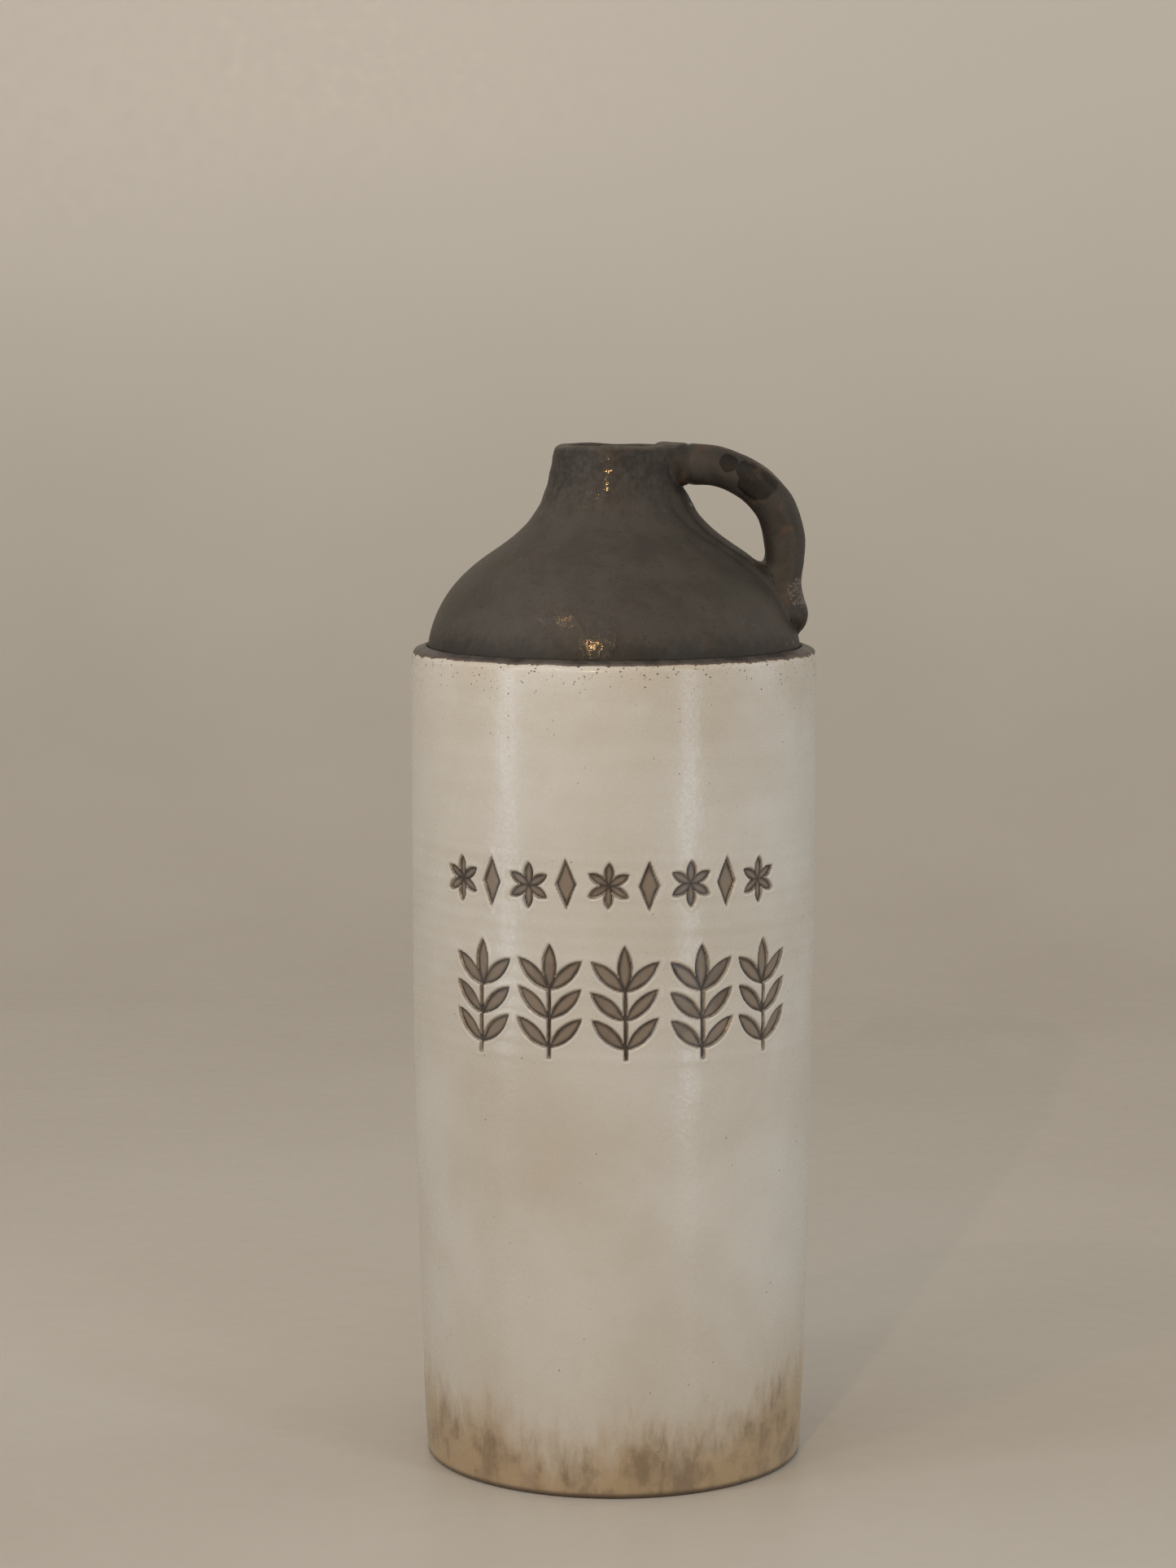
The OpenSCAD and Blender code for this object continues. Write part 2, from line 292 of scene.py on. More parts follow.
def buildBody():
    fine = np.arange(body["fineFrom"], body["fineTo"], body["fineStep"])
    coarse = np.linspace(body["fineTo"], body["fineFrom"] + 360,
                         int((360 - (body["fineTo"] - body["fineFrom"])) / body["coarseStep"]) + 1)[:-1]
    angle = np.radians(np.concatenate([fine, coarse]))
    rows, outer = bodyRows()
    r = np.repeat(rows[:, :1], len(angle), 1)
    z = np.repeat(rows[:, 1:], len(angle), 1)
    a = np.repeat(angle[None, :], len(rows), 0)
    turned = np.where(a > math.pi, a - 2 * math.pi, a)
    deep, pit = pressedIn(turned * jug["bodyR"], z)
    isOuter = (np.arange(len(rows)) < outer)[:, None]
    x, y = r * np.sin(a), -r * np.cos(a)
    above = smooth((z - 3) / 20) * smooth((jug["ledgeTop"] + 8 - z) / 20)
    uneven = 0.16 * ripple(x, y, z * 0.6, 55, 3) + 0.05 * ripple(x, y, z, 14, 4)
    rings = 0.05 * np.sin(z * 0.55 + 0.4 * np.sin(a + 1)) + 0.04 * np.sin(z * 1.13 + 2 * np.sin(a))
    wander = body["ridgeZ"] + 0.7 * np.sin(a * 2 + 0.6) + 0.4 * np.sin(a * 5)
    ridge = 0.16 * np.exp(-((z - wander) / 1.3) ** 2) - 0.12 * np.exp(-((z - wander - 3) / 1.6) ** 2)
    shift = above * (uneven + rings + ridge) - body["skinIn"] - deep
    r = r + np.where(isOuter, np.where(z > 1, shift, 0), 0)
    verts = np.stack([r * np.sin(a), -r * np.cos(a), z], -1).reshape(-1, 3)
    pit = np.where(isOuter, pit, 0)
    obj = makeMesh("jugBody", verts, ringFaces(len(rows), len(angle), True), {"pit": pit.ravel()})
    print("body:", len(obj.data.polygons), "faces")
    return obj


# Shoulder, neck and handle, modelled as one blended solid
upper = {
    "voxel": 0.88,
    "blendLow": 5.0,            # how softly the handle's tail runs into the shoulder, mm
    "blendHigh": 1.3,           # and how softly its pad runs into the neck
    "rimOut": 2.4, "rimIn": 1.3,
    "padEnd": 25.4,             # where the strap is butted against the pad
    "notch": (26.6, -6.0, 340.0),   # a gap that was left at the joint's underside
    "saddle": 1.5,              # clay smeared over the shoulder below the loop stands this proud
    "pip": (5.9, -40.6, 318.1),     # one small bump on the shoulder
}


def upperOutline():
    seat, mouth = jug["seat"], jug["mouth"]
    slope = np.array([math.cos(jug["turnSlope"]), -math.sin(jug["turnSlope"])])
    foot = np.array([jug["shoulderR"], seat])
    turn = np.array([jug["turnR"], seat + jug["turnRise"]])
    top = np.array([jug["neckR"], mouth])
    lean, mouthLean = math.radians(81), math.radians(82.4)
    domeLength, neckLength = np.linalg.norm(turn - foot), np.linalg.norm(top - turn)
    dome = bezier([foot, foot + 0.355 * domeLength * np.array([-math.cos(lean), math.sin(lean)]),
                   turn + 0.377 * domeLength * slope, turn], 26)
    neck = bezier([turn, turn - 0.438 * neckLength * slope,
                   top + 0.494 * neckLength * np.array([math.cos(mouthLean), -math.sin(mouthLean)]), top], 26)
    neck = neck[neck[:, 1] < mouth - upper["rimOut"]]
    outside, inside = upper["rimOut"], upper["rimIn"]
    rim = arcPoints((jug["neckR"] + 0.15 - outside, mouth - outside), outside, 0, 90, 6)
    lip = arcPoints((jug["boreR"] + inside, mouth - inside), inside, 90, 180, 5)
    innerFoot = np.array([jug["shoulderR"] - jug["shoulderWall"], seat])
    square = np.array([math.sin(jug["turnSlope"]), math.cos(jug["turnSlope"])])
    innerTurn = turn - jug["shoulderWall"] * square
    throat = np.array([jug["boreR"] + 0.2, jug["neckSeat"]])
    down = bezier([throat, throat - [0, 8], innerTurn - 11 * slope, innerTurn], 16)
    inner = bezier([innerTurn, innerTurn + 12 * slope, innerFoot + [0, 18], innerFoot], 16)
    return np.concatenate([dome, neck[1:], rim, lip, down, inner[1:]])


def throughPoints(points, steps):
    # a smooth curve through every given point
    p = np.array(points, float)
    p = np.vstack([2 * p[0] - p[1], p, 2 * p[-1] - p[-2]])
    t = np.linspace(0, 1, steps, endpoint=False)[:, None]
    parts = [0.5 * (2 * b + (c - a) * t + (2 * a - 5 * b + 4 * c - d) * t * t
                    + (3 * b - a - 3 * c + d) * t ** 3)
             for a, b, c, d in zip(p[:-3], p[1:-2], p[2:-1], p[3:])]
    return np.vstack(parts + [p[-2:-1]])


def sweepStations():
    # (x, z, half thickness, half width) along the middle of the handle, from the neck to the tail's tip
    top = strapHigh[2] - 7
    reach = strapHigh[0] - 7
    pad, strap = 11.6, 11.3
    return throughPoints([
        (17.5, top - 0.2, 7.1, pad), (25.0, top - 0.4, 7.1, pad), (33.0, top - 0.7, 6.8, strap),
        (38.5, top - 2.0, 6.75, strap), (44.5, top - 4.7, 6.8, strap), (50.3, top - 9.0, 6.9, strap + 0.2),
        (reach - 3.4, top - 14.8, 7.05, strap + 0.2), (reach - 0.9, top - 20.8, 7.05, strap),
        (reach + 0.3, top - 26.7, 6.95, strap - 0.2), (reach + 0.5, top - 33.4, 6.3, strap),
        (reach + 0.1, top - 40.7, 5.9, 12.2), (reach + 1.9, top - 46.9, 5.1, 13.6),
        (reach + 4.1, top - 51.2, 4.0, 14.2), (reach + 4.3, top - 54.2, 2.9, 12.2),
        (reach + 4.2, top - 56.0, 2.0, 9.4)], 4)


outline = upperOutline()
stations = sweepStations()


def outlineDistance(points):
    flat = np.stack([np.hypot(points[:, 0], points[:, 1]), points[:, 2]], 1)
    a = outline
    ab = np.roll(outline, -1, 0) - a
    length = (ab ** 2).sum(1)
    result = np.empty(len(flat))
    for start in range(0, len(flat), 20000):
        p = flat[start:start + 20000, None, :]
        ap = p - a
        h = np.clip((ap * ab).sum(2) / length, 0, 1)
        gap = np.sqrt(((ap - ab * h[..., None]) ** 2).sum(2)).min(1)
        crosses = (a[:, 1] > p[..., 1]) != (a[:, 1] + ab[:, 1] > p[..., 1])
        with np.errstate(divide="ignore", invalid="ignore"):
            at = a[:, 0] + (p[..., 1] - a[:, 1]) * ab[:, 0] / ab[:, 1]
        inside = (crosses & (p[..., 0] < at)).sum(1) % 2 == 1
        result[start:start + 20000] = np.where(inside, -gap, gap)
    return result


def handleDistance(points):
    a, ab = stations[:-1], np.diff(stations, axis=0)
    length = (ab[:, :2] ** 2).sum(1)
    result = np.empty(len(points))
    for start in range(0, len(points), 20000):
        p = points[start:start + 20000]
        flat = p[:, None, [0, 2]] - a[:, :2]
        h = np.clip((flat * ab[:, :2]).sum(2) / length, 0, 1)
        gap = np.sqrt(((flat - ab[:, :2] * h[..., None]) ** 2).sum(2))
        thick = a[:, 2] + ab[:, 2] * h
        wide = a[:, 3] + ab[:, 3] * h
        side = np.maximum(np.abs(p[:, 1])[:, None] - (wide - thick), 0)
        result[start:start + 20000] = ((gap ** 2.2 + side ** 2.2) ** (1 / 2.2) - thick).min(1)
    return result


def upperDistance(points):
    x, y, z = points.T
    shell = outlineDistance(points)
    handle = handleDistance(points)
    shell = shell - 0.16 * ripple(x, y, z, 46, 11) * smooth((z - jug["seat"] - 1) / 8)
    shell = shell + 0.10 * np.sin(z * 0.9 + np.arctan2(y, x)) * smooth((z - 322) / 12) * smooth((352 - z) / 5)
    saddle = smooth((16.5 - np.abs(y)) / 4.2) * smooth((z - 302) / 8) * smooth((341 - z) / 5) * (x > 0)
    shell = shell - upper["saddle"] * saddle
    pip = ((points - upper["pip"]) ** 2).sum(1)
    shell = shell - 0.45 * np.exp(-pip / 0.8)
    handle = handle - 0.20 * ripple(x, y, z, 19, 12) - 0.08 * ripple(x, y, z, 6, 13)
    handle = handle + 0.40 * np.exp(-((x - upper["padEnd"] - 0.03 * (z - 347) ** 2 * 0.2) / 0.7) ** 2)
    handle = handle + 1.1 * np.exp(-((points - upper["notch"]) ** 2 / (0.9, 16, 1.2)).sum(1))
    soft = upper["blendHigh"] + (upper["blendLow"] - upper["blendHigh"]) * smooth((334 - z) / 18)
    soft = soft - (upper["blendLow"] - 1.6) * smooth((297 - z) / 5)
    mix = np.maximum(soft - np.abs(shell - handle), 0) / soft
    both = np.minimum(shell, handle) - mix * mix * soft / 4
    bore = np.hypot(x, y) - jug["boreR"]
    lipClear = np.where(z > jug["neckSeat"], -bore, -99.0)
    return np.maximum(both, lipClear)


def settle(points, steps):
    # slides every point onto the blended solid's true surface
    for _ in range(steps):
        here = upperDistance(points)
        grad = np.stack([upperDistance(points + step) - here for step in np.eye(3) * 0.04], 1) / 0.04
        points = points - grad * (here / np.maximum((grad ** 2).sum(1), 0.25))[:, None]
    return points


def roughUpper():
    # a plain turned shell and a plain swept strap, joined by a voxel remesh
    segments = 128
    a = np.linspace(0, 2 * math.pi, segments, endpoint=False)
    verts = np.concatenate([np.stack([r * np.cos(a), r * np.sin(a), np.full(segments, z)], 1)
                            for r, z in outline])
    faces = ringFaces(len(outline), segments, True)
    path = stations[:, :2]
    along = np.gradient(path, axis=0)
    along /= np.linalg.norm(along, axis=1)[:, None]
    b = np.linspace(0, 2 * math.pi, 32, endpoint=False)
    tube = []
    for (x, z, thick, wide), (dx, dz) in zip(stations, along):
        tube.append(np.stack([x - dz * thick * np.cos(b), wide * np.sin(b), z + dx * thick * np.cos(b)], 1))
    tube = np.concatenate(tube)
    tubeFaces = [[v + len(verts) for v in f] for f in ringFaces(len(stations), 32, False)]
    first = [len(verts) + i for i in range(32)]
    last = [len(verts) + len(tube) - 32 + i for i in range(32)]
    obj = makeMesh("upperRough", np.concatenate([verts, tube]), faces + tubeFaces + [first[::-1], last])
    facesOut(obj)
    remesh = obj.modifiers.new("join", "REMESH")
    remesh.mode = "VOXEL"
    remesh.voxel_size = upper["voxel"] * mm
    return obj


def facesOut(obj):
    work = bmesh.new()
    work.from_mesh(obj.data)
    bmesh.ops.recalc_face_normals(work, faces=work.faces)
    work.to_mesh(obj.data)
    work.free()


def bake(obj, name):
    graph = bpy.context.evaluated_depsgraph_get()
    mesh = bpy.data.meshes.new_from_object(obj.evaluated_get(graph))
    mesh.name = name
    obj.modifiers.clear()
    old = obj.data
    obj.data = mesh
    if old.users == 0:
        bpy.data.meshes.remove(old)
    obj.name = name
    return obj


def buildUpper():
    obj = bake(roughUpper(), "shoulderNeckHandle")
    co = np.empty(len(obj.data.vertices) * 3, np.float32)
    obj.data.vertices.foreach_get("co", co)
    points = settle(co.reshape(-1, 3).astype(float) / mm, 4)
    x, y, z = points.T
    rim = smooth((z - jug["mouth"] + 3) / 3) * smooth((24 - np.hypot(x, y)) / 2)
    z = z + rim * (0.28 * np.sin(3 * np.arctan2(y, x) + 0.8) + 0.12 * np.sin(7 * np.arctan2(y, x)) - 0.25)
    points = np.stack([x, y, np.maximum(z, jug["seat"])], 1)
    obj.data.vertices.foreach_set("co", (points * mm).astype(np.float32).ravel())
    mark = obj.data.attributes.new("handle", "FLOAT", "POINT")
    mark.data.foreach_set("value", smooth((outlineDistance(points) - 0.2) / 1.4).astype(np.float32))
    obj.data.shade_smooth()
    obj.data.update()
    print("shoulder, neck and handle:", len(obj.data.polygons), "faces")
    return obj


# Ledge's glaze
ledge = {
    "thickness": 0.38, "columns": 900, "rows": 15,
    "reachFront": 3.5,          # how far the dark glaze runs out from the shoulder's foot, mm
    "reachSide": 5.0,
    "waveR": 69.0, "drips": 30,
}


def buildLedgeGlaze():
    # a thin skin from the groove over the ledge's edge, ending in a ragged line with small drips
    edge = jug["bodyR"] - jug["drawIn"]
    top = (jug["shoulderR"] + 0.45, jug["ledgeTop"])
    lip = ledgeLip(8)[::-1]
    drawn = bezier([(edge, jug["ledgeEdge"] - jug["ledgeRound"]), (jug["bodyR"], wideZ + 6),
                    (jug["bodyR"], wideZ)], 8)
    path = np.concatenate([[top], lip, drawn[1:]])
    steps = np.concatenate([[0], np.cumsum(np.linalg.norm(np.diff(path, axis=0), axis=1))])
    a = np.linspace(0, 2 * math.pi, ledge["columns"], endpoint=False)
    rng = np.random.default_rng(23)
    reach = ledge["reachFront"] + (ledge["reachSide"] - ledge["reachFront"]) * smooth(np.sin(a / 2) ** 2 * 2)
    x, y = ledge["waveR"] * np.sin(a), -ledge["waveR"] * np.cos(a)
    ragged = smooth(np.sin(a * 1.5 + 0.2) * 1.5) * 0.7 + 0.3
    reach += 0.30 * ripple(x, y, 0, 16, 5)
    reach += ragged * (0.32 * ripple(x, y, 0, 3.6, 6) + 0.24 * ripple(x, y, 0, 1.5, 7))
    for _ in range(ledge["drips"]):
        middle = rng.uniform(0, 2 * math.pi)
        width = rng.uniform(0.25, 0.6) / ledge["waveR"]
        drop = rng.uniform(0.3, 1.0)
        off = np.angle(np.exp(1j * (a - middle)))
        reach += drop * np.exp(-(off / width) ** 2)
    v = np.linspace(0, 1, ledge["rows"]) ** 0.8
    along = v[:, None] * reach[None, :]
    r = np.interp(along, steps, path[:, 0])
    z = np.interp(along, steps, path[:, 1])
    tangent = np.stack([np.gradient(path[:, 0]), np.gradient(path[:, 1])], 1)
    tangent /= np.linalg.norm(tangent, axis=1)[:, None]
    nr = np.interp(along, steps, -tangent[:, 1])
    nz = np.interp(along, steps, tangent[:, 0])
    flip = np.sign(nr * 0.5 + nz + 1e-9)
    nr, nz = nr * flip, nz * flip
    bead = ledge["thickness"] * (1 - smooth((v - 0.72) / 0.28))[:, None] * (1 + 0.25 * ripple(
        r * np.sin(a), -r * np.cos(a), z, 9, 8))
    outerR, outerZ = r + nr * bead, z + nz * bead
    innerR, innerZ = r - nr * 0.5, z - nz * 0.5
    allR = np.concatenate([outerR[::-1], innerR])
    allZ = np.concatenate([outerZ[::-1], innerZ])
    verts = np.stack([allR * np.sin(a), -allR * np.cos(a), allZ], -1).reshape(-1, 3)
    fade = np.concatenate([np.repeat(v[::-1, None], len(a), 1), np.repeat(v[:, None], len(a), 1)])
    obj = makeMesh("ledgeGlazeSkin", verts, ringFaces(len(allR), len(a), True), {"run": fade.ravel()})
    facesOut(obj)
    print("ledge glaze:", len(obj.data.polygons), "faces")
    return obj


# Geometry nodes
def newTree(name, inputs, kind="GeometryNodeTree"):
    tree = bpy.data.node_groups.new(name, kind)
    for label, socket, value in inputs:
        item = tree.interface.new_socket(label, in_out="INPUT", socket_type=socket)
        if value is not None:
            item.default_value = value
    return tree


def feed(tree, socket, value):
    # a socket takes either another node's output or a plain value
    if isinstance(value, bpy.types.NodeSocket):
        tree.links.new(value, socket)
    else:
        socket.default_value = value


def put(tree, kind, inputs=None, **settings):
    node = tree.nodes.new(kind)
    for key, value in settings.items():
        setattr(node, key, value)
    for key, value in (inputs or {}).items():
        feed(tree, node.inputs[key], value)
    return node


def calc(tree, operation, *values):
    node = put(tree, "ShaderNodeMath", operation=operation)
    for socket, value in zip(node.inputs, values):
        feed(tree, socket, value)
    return node.outputs[0]


def times(tree, a, b):
    return calc(tree, "MULTIPLY", a, b)


def plus(tree, a, b):
    return calc(tree, "ADD", a, b)


def minus(tree, a, b):
    return calc(tree, "SUBTRACT", a, b)


def named(tree, name):
    node = put(tree, "GeometryNodeInputNamedAttribute", {"Name": name}, data_type="FLOAT")
    return node.outputs["Attribute"]


def setInput(obj, modifier, label, value):
    for item in modifier.node_group.interface.items_tree:
        if item.item_type == "SOCKET" and item.in_out == "INPUT" and item.name == label:
            modifier[item.identifier] = value
            return
    raise ValueError(label)


def endTree(tree, geometry, material):
    # the last steps of every tree: smooth shading, then the material
    shaded = put(tree, "GeometryNodeSetShadeSmooth", {"Geometry": geometry, "Shade Smooth": True}).outputs[0]
    final = put(tree, "GeometryNodeSetMaterial", {"Geometry": shaded, "Material": material}).outputs[0]
    put(tree, "NodeGroupOutput", {"Geometry": final})


def washTree():
    # Lays one flat blade on every stroke point, shapes it, and wraps it round the jug's wall.
    tree = newTree("layWash", [("Geometry", "NodeSocketGeometry", None),
                               ("Foot Radius", "NodeSocketFloat", 0.066),
                               ("Wide Radius", "NodeSocketFloat", 0.07),
                               ("Wide Height", "NodeSocketFloat", 0.27),
                               ("Swell", "NodeSocketFloat", 2.5),
                               ("Thickness", "NodeSocketFloat", 0.0005),
                               ("Crown", "NodeSocketFloat", 0.0001),
                               ("Material", "NodeSocketMaterial", None)])
    tree.interface.new_socket("Geometry", in_out="OUTPUT", socket_type="NodeSocketGeometry")
    given = put(tree, "NodeGroupInput").outputs
    grid = put(tree, "GeometryNodeMeshGrid",
               {"Size X": 2.0, "Size Y": 1.0, "Vertices X": 9, "Vertices Y": 25})
    place = put(tree, "GeometryNodeInputPosition").outputs[0]
    split = put(tree, "ShaderNodeSeparateXYZ", {0: place})
    flat = put(tree, "GeometryNodeStoreNamedAttribute", {"Geometry": grid.outputs[0], "Name": "across",
                                                          "Value": split.outputs[0]}, domain="POINT")
    along = plus(tree, split.outputs[1], 0.5)
    flat = put(tree, "GeometryNodeStoreNamedAttribute", {"Geometry": flat.outputs[0], "Name": "along",
                                                          "Value": along}, domain="POINT")
    laid = put(tree, "GeometryNodeInstanceOnPoints",
               {"Points": given["Geometry"], "Instance": flat.outputs[0]})
    real = put(tree, "GeometryNodeRealizeInstances", {"Geometry": laid.outputs[0]}).outputs[0]

    u, v = named(tree, "across"), named(tree, "along")
    x0, z0, turn = named(tree, "rootX"), named(tree, "rootZ"), named(tree, "turn")
    length, width, depth = named(tree, "length"), named(tree, "width"), named(tree, "depth")
    form = named(tree, "form")
    off = times(tree, minus(tree, v, 0.5), length)
    squares = plus(tree, times(tree, length, length), times(tree, width, width))
    radius = calc(tree, "DIVIDE", squares, times(tree, width, 4.0))
    chord = minus(tree, times(tree, radius, radius), times(tree, off, off))
    chord = calc(tree, "SQRT", calc(tree, "MAXIMUM", chord, 0.0))
    halfBar = times(tree, width, 0.5)
    halfLens = minus(tree, chord, minus(tree, radius, halfBar))
    fromMiddle = calc(tree, "ABSOLUTE", minus(tree, times(tree, v, 2.0), 1.0))
    halfDiamond = times(tree, halfBar, minus(tree, 1.0, fromMiddle))
    isLens = calc(tree, "LESS_THAN", form, 0.5)
    isBar = calc(tree, "GREATER_THAN", form, 1.5)
    isDiamond = minus(tree, minus(tree, 1.0, isLens), isBar)
    half = plus(tree, times(tree, halfLens, isLens), times(tree, halfBar, isBar))
    half = plus(tree, half, times(tree, halfDiamond, isDiamond))
    half = calc(tree, "MAXIMUM", half, 0.00003)
    inset = times(tree, half, minus(tree, 1.0, calc(tree, "ABSOLUTE", u)))
    insetMm = calc(tree, "DIVIDE", inset, mm)
    real = put(tree, "GeometryNodeStoreNamedAttribute",
               {"Geometry": real, "Name": "inset", "Value": insetMm}, domain="POINT").outputs[0]

    side = times(tree, u, half)
    reachUp = times(tree, v, length)
    c, s = calc(tree, "COSINE", turn), calc(tree, "SINE", turn)
    sideC, sideS = times(tree, side, c), times(tree, side, s)
    upC, upS = times(tree, reachUp, c), times(tree, reachUp, s)
    x = plus(tree, x0, minus(tree, sideC, upS))
    z = plus(tree, z0, plus(tree, sideS, upC))
    under = minus(tree, 1.0, calc(tree, "DIVIDE", z, given["Wide Height"]))
    fill = calc(tree, "POWER", under, given["Swell"])
    taper = minus(tree, given["Wide Radius"], given["Foot Radius"])
    wall = minus(tree, given["Wide Radius"], times(tree, fill, taper))
    crown = times(tree, given["Crown"], minus(tree, 1.0, times(tree, u, u)))
    r = plus(tree, minus(tree, wall, depth), crown)
    angle = calc(tree, "DIVIDE", x, given["Wide Radius"])
    outX = times(tree, r, calc(tree, "SINE", angle))
    outY = times(tree, times(tree, r, -1.0), calc(tree, "COSINE", angle))
    spot = put(tree, "ShaderNodeCombineXYZ", {0: outX, 1: outY, 2: z}).outputs[0]
    moved = put(tree, "GeometryNodeSetPosition", {"Geometry": real, "Position": spot}).outputs[0]
    inwards = times(tree, given["Thickness"], -1.0)
    skin = put(tree, "GeometryNodeExtrudeMesh",
               {"Mesh": moved, "Offset Scale": inwards, "Individual": False}, mode="FACES").outputs[0]
    whole = put(tree, "GeometryNodeJoinGeometry")
    for part in (put(tree, "GeometryNodeFlipFaces", {"Mesh": skin}).outputs[0], moved):
        tree.links.new(part, whole.inputs[0])
    merged = put(tree, "GeometryNodeMergeByDistance",
                 {"Geometry": whole.outputs[0], "Distance": 0.000002}).outputs[0]
    endTree(tree, merged, given["Material"])
    return tree


def buildWash(name, strokes, tree, material):
    cloud = np.zeros((len(strokes), 3))
    keys = ("rootX", "rootZ", "turn", "length", "width", "depth", "form")
    scales = (mm, mm, 1, mm, mm, mm, 1)
    columns = {}
    for column, (key, scale) in enumerate(zip(keys, scales)):
        columns[key] = strokes[:, column] * scale
    columns["depth"] = columns["depth"] + (body["skinIn"] - stamps["washLift"]) * mm
    obj = makeMesh(name, cloud, [], columns)
    modifier = obj.modifiers.new("wash", "NODES")
    modifier.node_group = tree
    for label, value in (("Foot Radius", baseR * mm), ("Wide Radius", jug["bodyR"] * mm),
                         ("Wide Height", wideZ * mm), ("Swell", jug["swell"]),
                         ("Thickness", stamps["washThickness"] * mm), ("Crown", 0.08 * mm),
                         ("Material", material)):
        setInput(obj, modifier, label, value)
    bake(obj, name)
    facesOut(obj)
    print(name + ":", len(obj.data.polygons), "faces")
    return obj


# Iron spots: how many a square metre at the band's top, and the band and the spots' radii in mm
spots = {
    "spotsByLedge": {"Seed": 5, "Density": 520000.0, "Low": 270, "High": 283.2,
                     "Smallest": 0.07, "Largest": 0.29, "Flatness": 0.35},
    "spotsOnWall": {"Seed": 9, "Density": 1800.0, "Low": 60, "High": 283,
                    "Smallest": 0.06, "Largest": 0.20, "Flatness": 0.35},
}


def buildSpots(bodyObj, tree, material, name):
    # small burnt-out iron spots standing a hair proud of the glaze, scattered over a band of the wall
    source = bodyObj.data.copy()
    obj = bpy.data.objects.new(name, source)
    scene.collection.objects.link(obj)
    modifier = obj.modifiers.new("spots", "NODES")
    modifier.node_group = tree
    for label, value in spots[name].items():
        inMetres = label in ("Low", "High", "Smallest", "Largest")
        setInput(obj, modifier, label, value * mm if inMetres else value)
    setInput(obj, modifier, "Material", material)
    bake(obj, name)
    facesOut(obj)
    print(name + ":", len(obj.data.polygons), "faces")
    return obj


def spotTree():
    # Scatters low blobs over the outside of a wall, thickest at the band's top.
    tree = newTree("scatterSpots", [("Geometry", "NodeSocketGeometry", None),
                                    ("Density", "NodeSocketFloat", 1000.0),
                                    ("Low", "NodeSocketFloat", 0.0), ("High", "NodeSocketFloat", 0.28),
                                    ("Smallest", "NodeSocketFloat", 0.0002),
                                    ("Largest", "NodeSocketFloat", 0.0006),
                                    ("Flatness", "NodeSocketFloat", 0.3), ("Seed", "NodeSocketInt", 1),
                                    ("Material", "NodeSocketMaterial", None)])
    tree.interface.new_socket("Geometry", in_out="OUTPUT", socket_type="NodeSocketGeometry")
    given = put(tree, "NodeGroupInput").outputs
    place = put(tree, "GeometryNodeInputPosition").outputs[0]
    z = put(tree, "ShaderNodeSeparateXYZ", {0: place}).outputs[2]
    normal = put(tree, "GeometryNodeInputNormal").outputs[0]
    outward = put(tree, "ShaderNodeVectorMath", {0: normal, 1: place},
                  operation="DOT_PRODUCT").outputs["Value"]
    share = put(tree, "ShaderNodeMapRange", {"Value": z, "From Min": given["Low"], "From Max": given["High"],
                                             "To Min": 0.0, "To Max": 1.0}).outputs[0]
    isBand = calc(tree, "GREATER_THAN", z, given["Low"])
    isBand = times(tree, isBand, calc(tree, "LESS_THAN", z, given["High"]))
    isOuter = calc(tree, "GREATER_THAN", outward, 0.02)
    thick = times(tree, isBand, times(tree, isOuter, calc(tree, "POWER", share, 2.2)))
    density = times(tree, thick, given["Density"])
    points = put(tree, "GeometryNodeDistributePointsOnFaces",
                 {"Mesh": given["Geometry"], "Density": density, "Seed": given["Seed"]},
                 distribute_method="RANDOM")
    ball = put(tree, "GeometryNodeMeshIcoSphere", {"Radius": 1.0, "Subdivisions": 2}).outputs[0]
    draw = put(tree, "FunctionNodeRandomValue", {"Min": 0.0, "Max": 1.0, "Seed": given["Seed"]},
               data_type="FLOAT")
    rare = calc(tree, "POWER", draw.outputs["Value"], 3.5)
    size = put(tree, "ShaderNodeMapRange",
               {"Value": rare, "To Min": given["Smallest"], "To Max": given["Largest"]}).outputs[0]
    stretch = put(tree, "FunctionNodeRandomValue", {"Min": 0.7, "Max": 1.35, "Seed": 7},
                  data_type="FLOAT").outputs["Value"]
    scale = put(tree, "ShaderNodeCombineXYZ", {0: times(tree, size, stretch), 1: size,
                                               2: times(tree, size, given["Flatness"])}).outputs[0]
    laid = put(tree, "GeometryNodeInstanceOnPoints", {"Points": points.outputs["Points"], "Instance": ball,
                                                      "Rotation": points.outputs["Rotation"], "Scale": scale})
    real = put(tree, "GeometryNodeRealizeInstances", {"Geometry": laid.outputs[0]}).outputs[0]
    endTree(tree, real, given["Material"])
    return tree


# Shared shader groups
def shaderGroup(name, inputs, outputs):
    tree = newTree(name, inputs, "ShaderNodeTree")
    for label, socket in outputs:
        tree.interface.new_socket(label, in_out="OUTPUT", socket_type=socket)
    given = put(tree, "NodeGroupInput").outputs
    place = put(tree, "ShaderNodeTexCoord").outputs["Object"]
    return tree, given, place


def noise(tree, place, scale, detail=2.0, rough=0.5, stretch=(1, 1, 1), offset=(0, 0, 0)):
    spot = put(tree, "ShaderNodeMapping", {"Vector": place, "Scale": stretch, "Location": offset}).outputs[0]
    return put(tree, "ShaderNodeTexNoise", {"Vector": spot, "Scale": scale, "Detail": detail,
                                            "Roughness": rough}).outputs["Fac"]


def ramp(tree, value, low, high, out0=0.0, out1=1.0):
    return put(tree, "ShaderNodeMapRange", {"Value": value, "From Min": low, "From Max": high, "To Min": out0,
                                            "To Max": out1}, interpolation_type="SMOOTHSTEP").outputs[0]


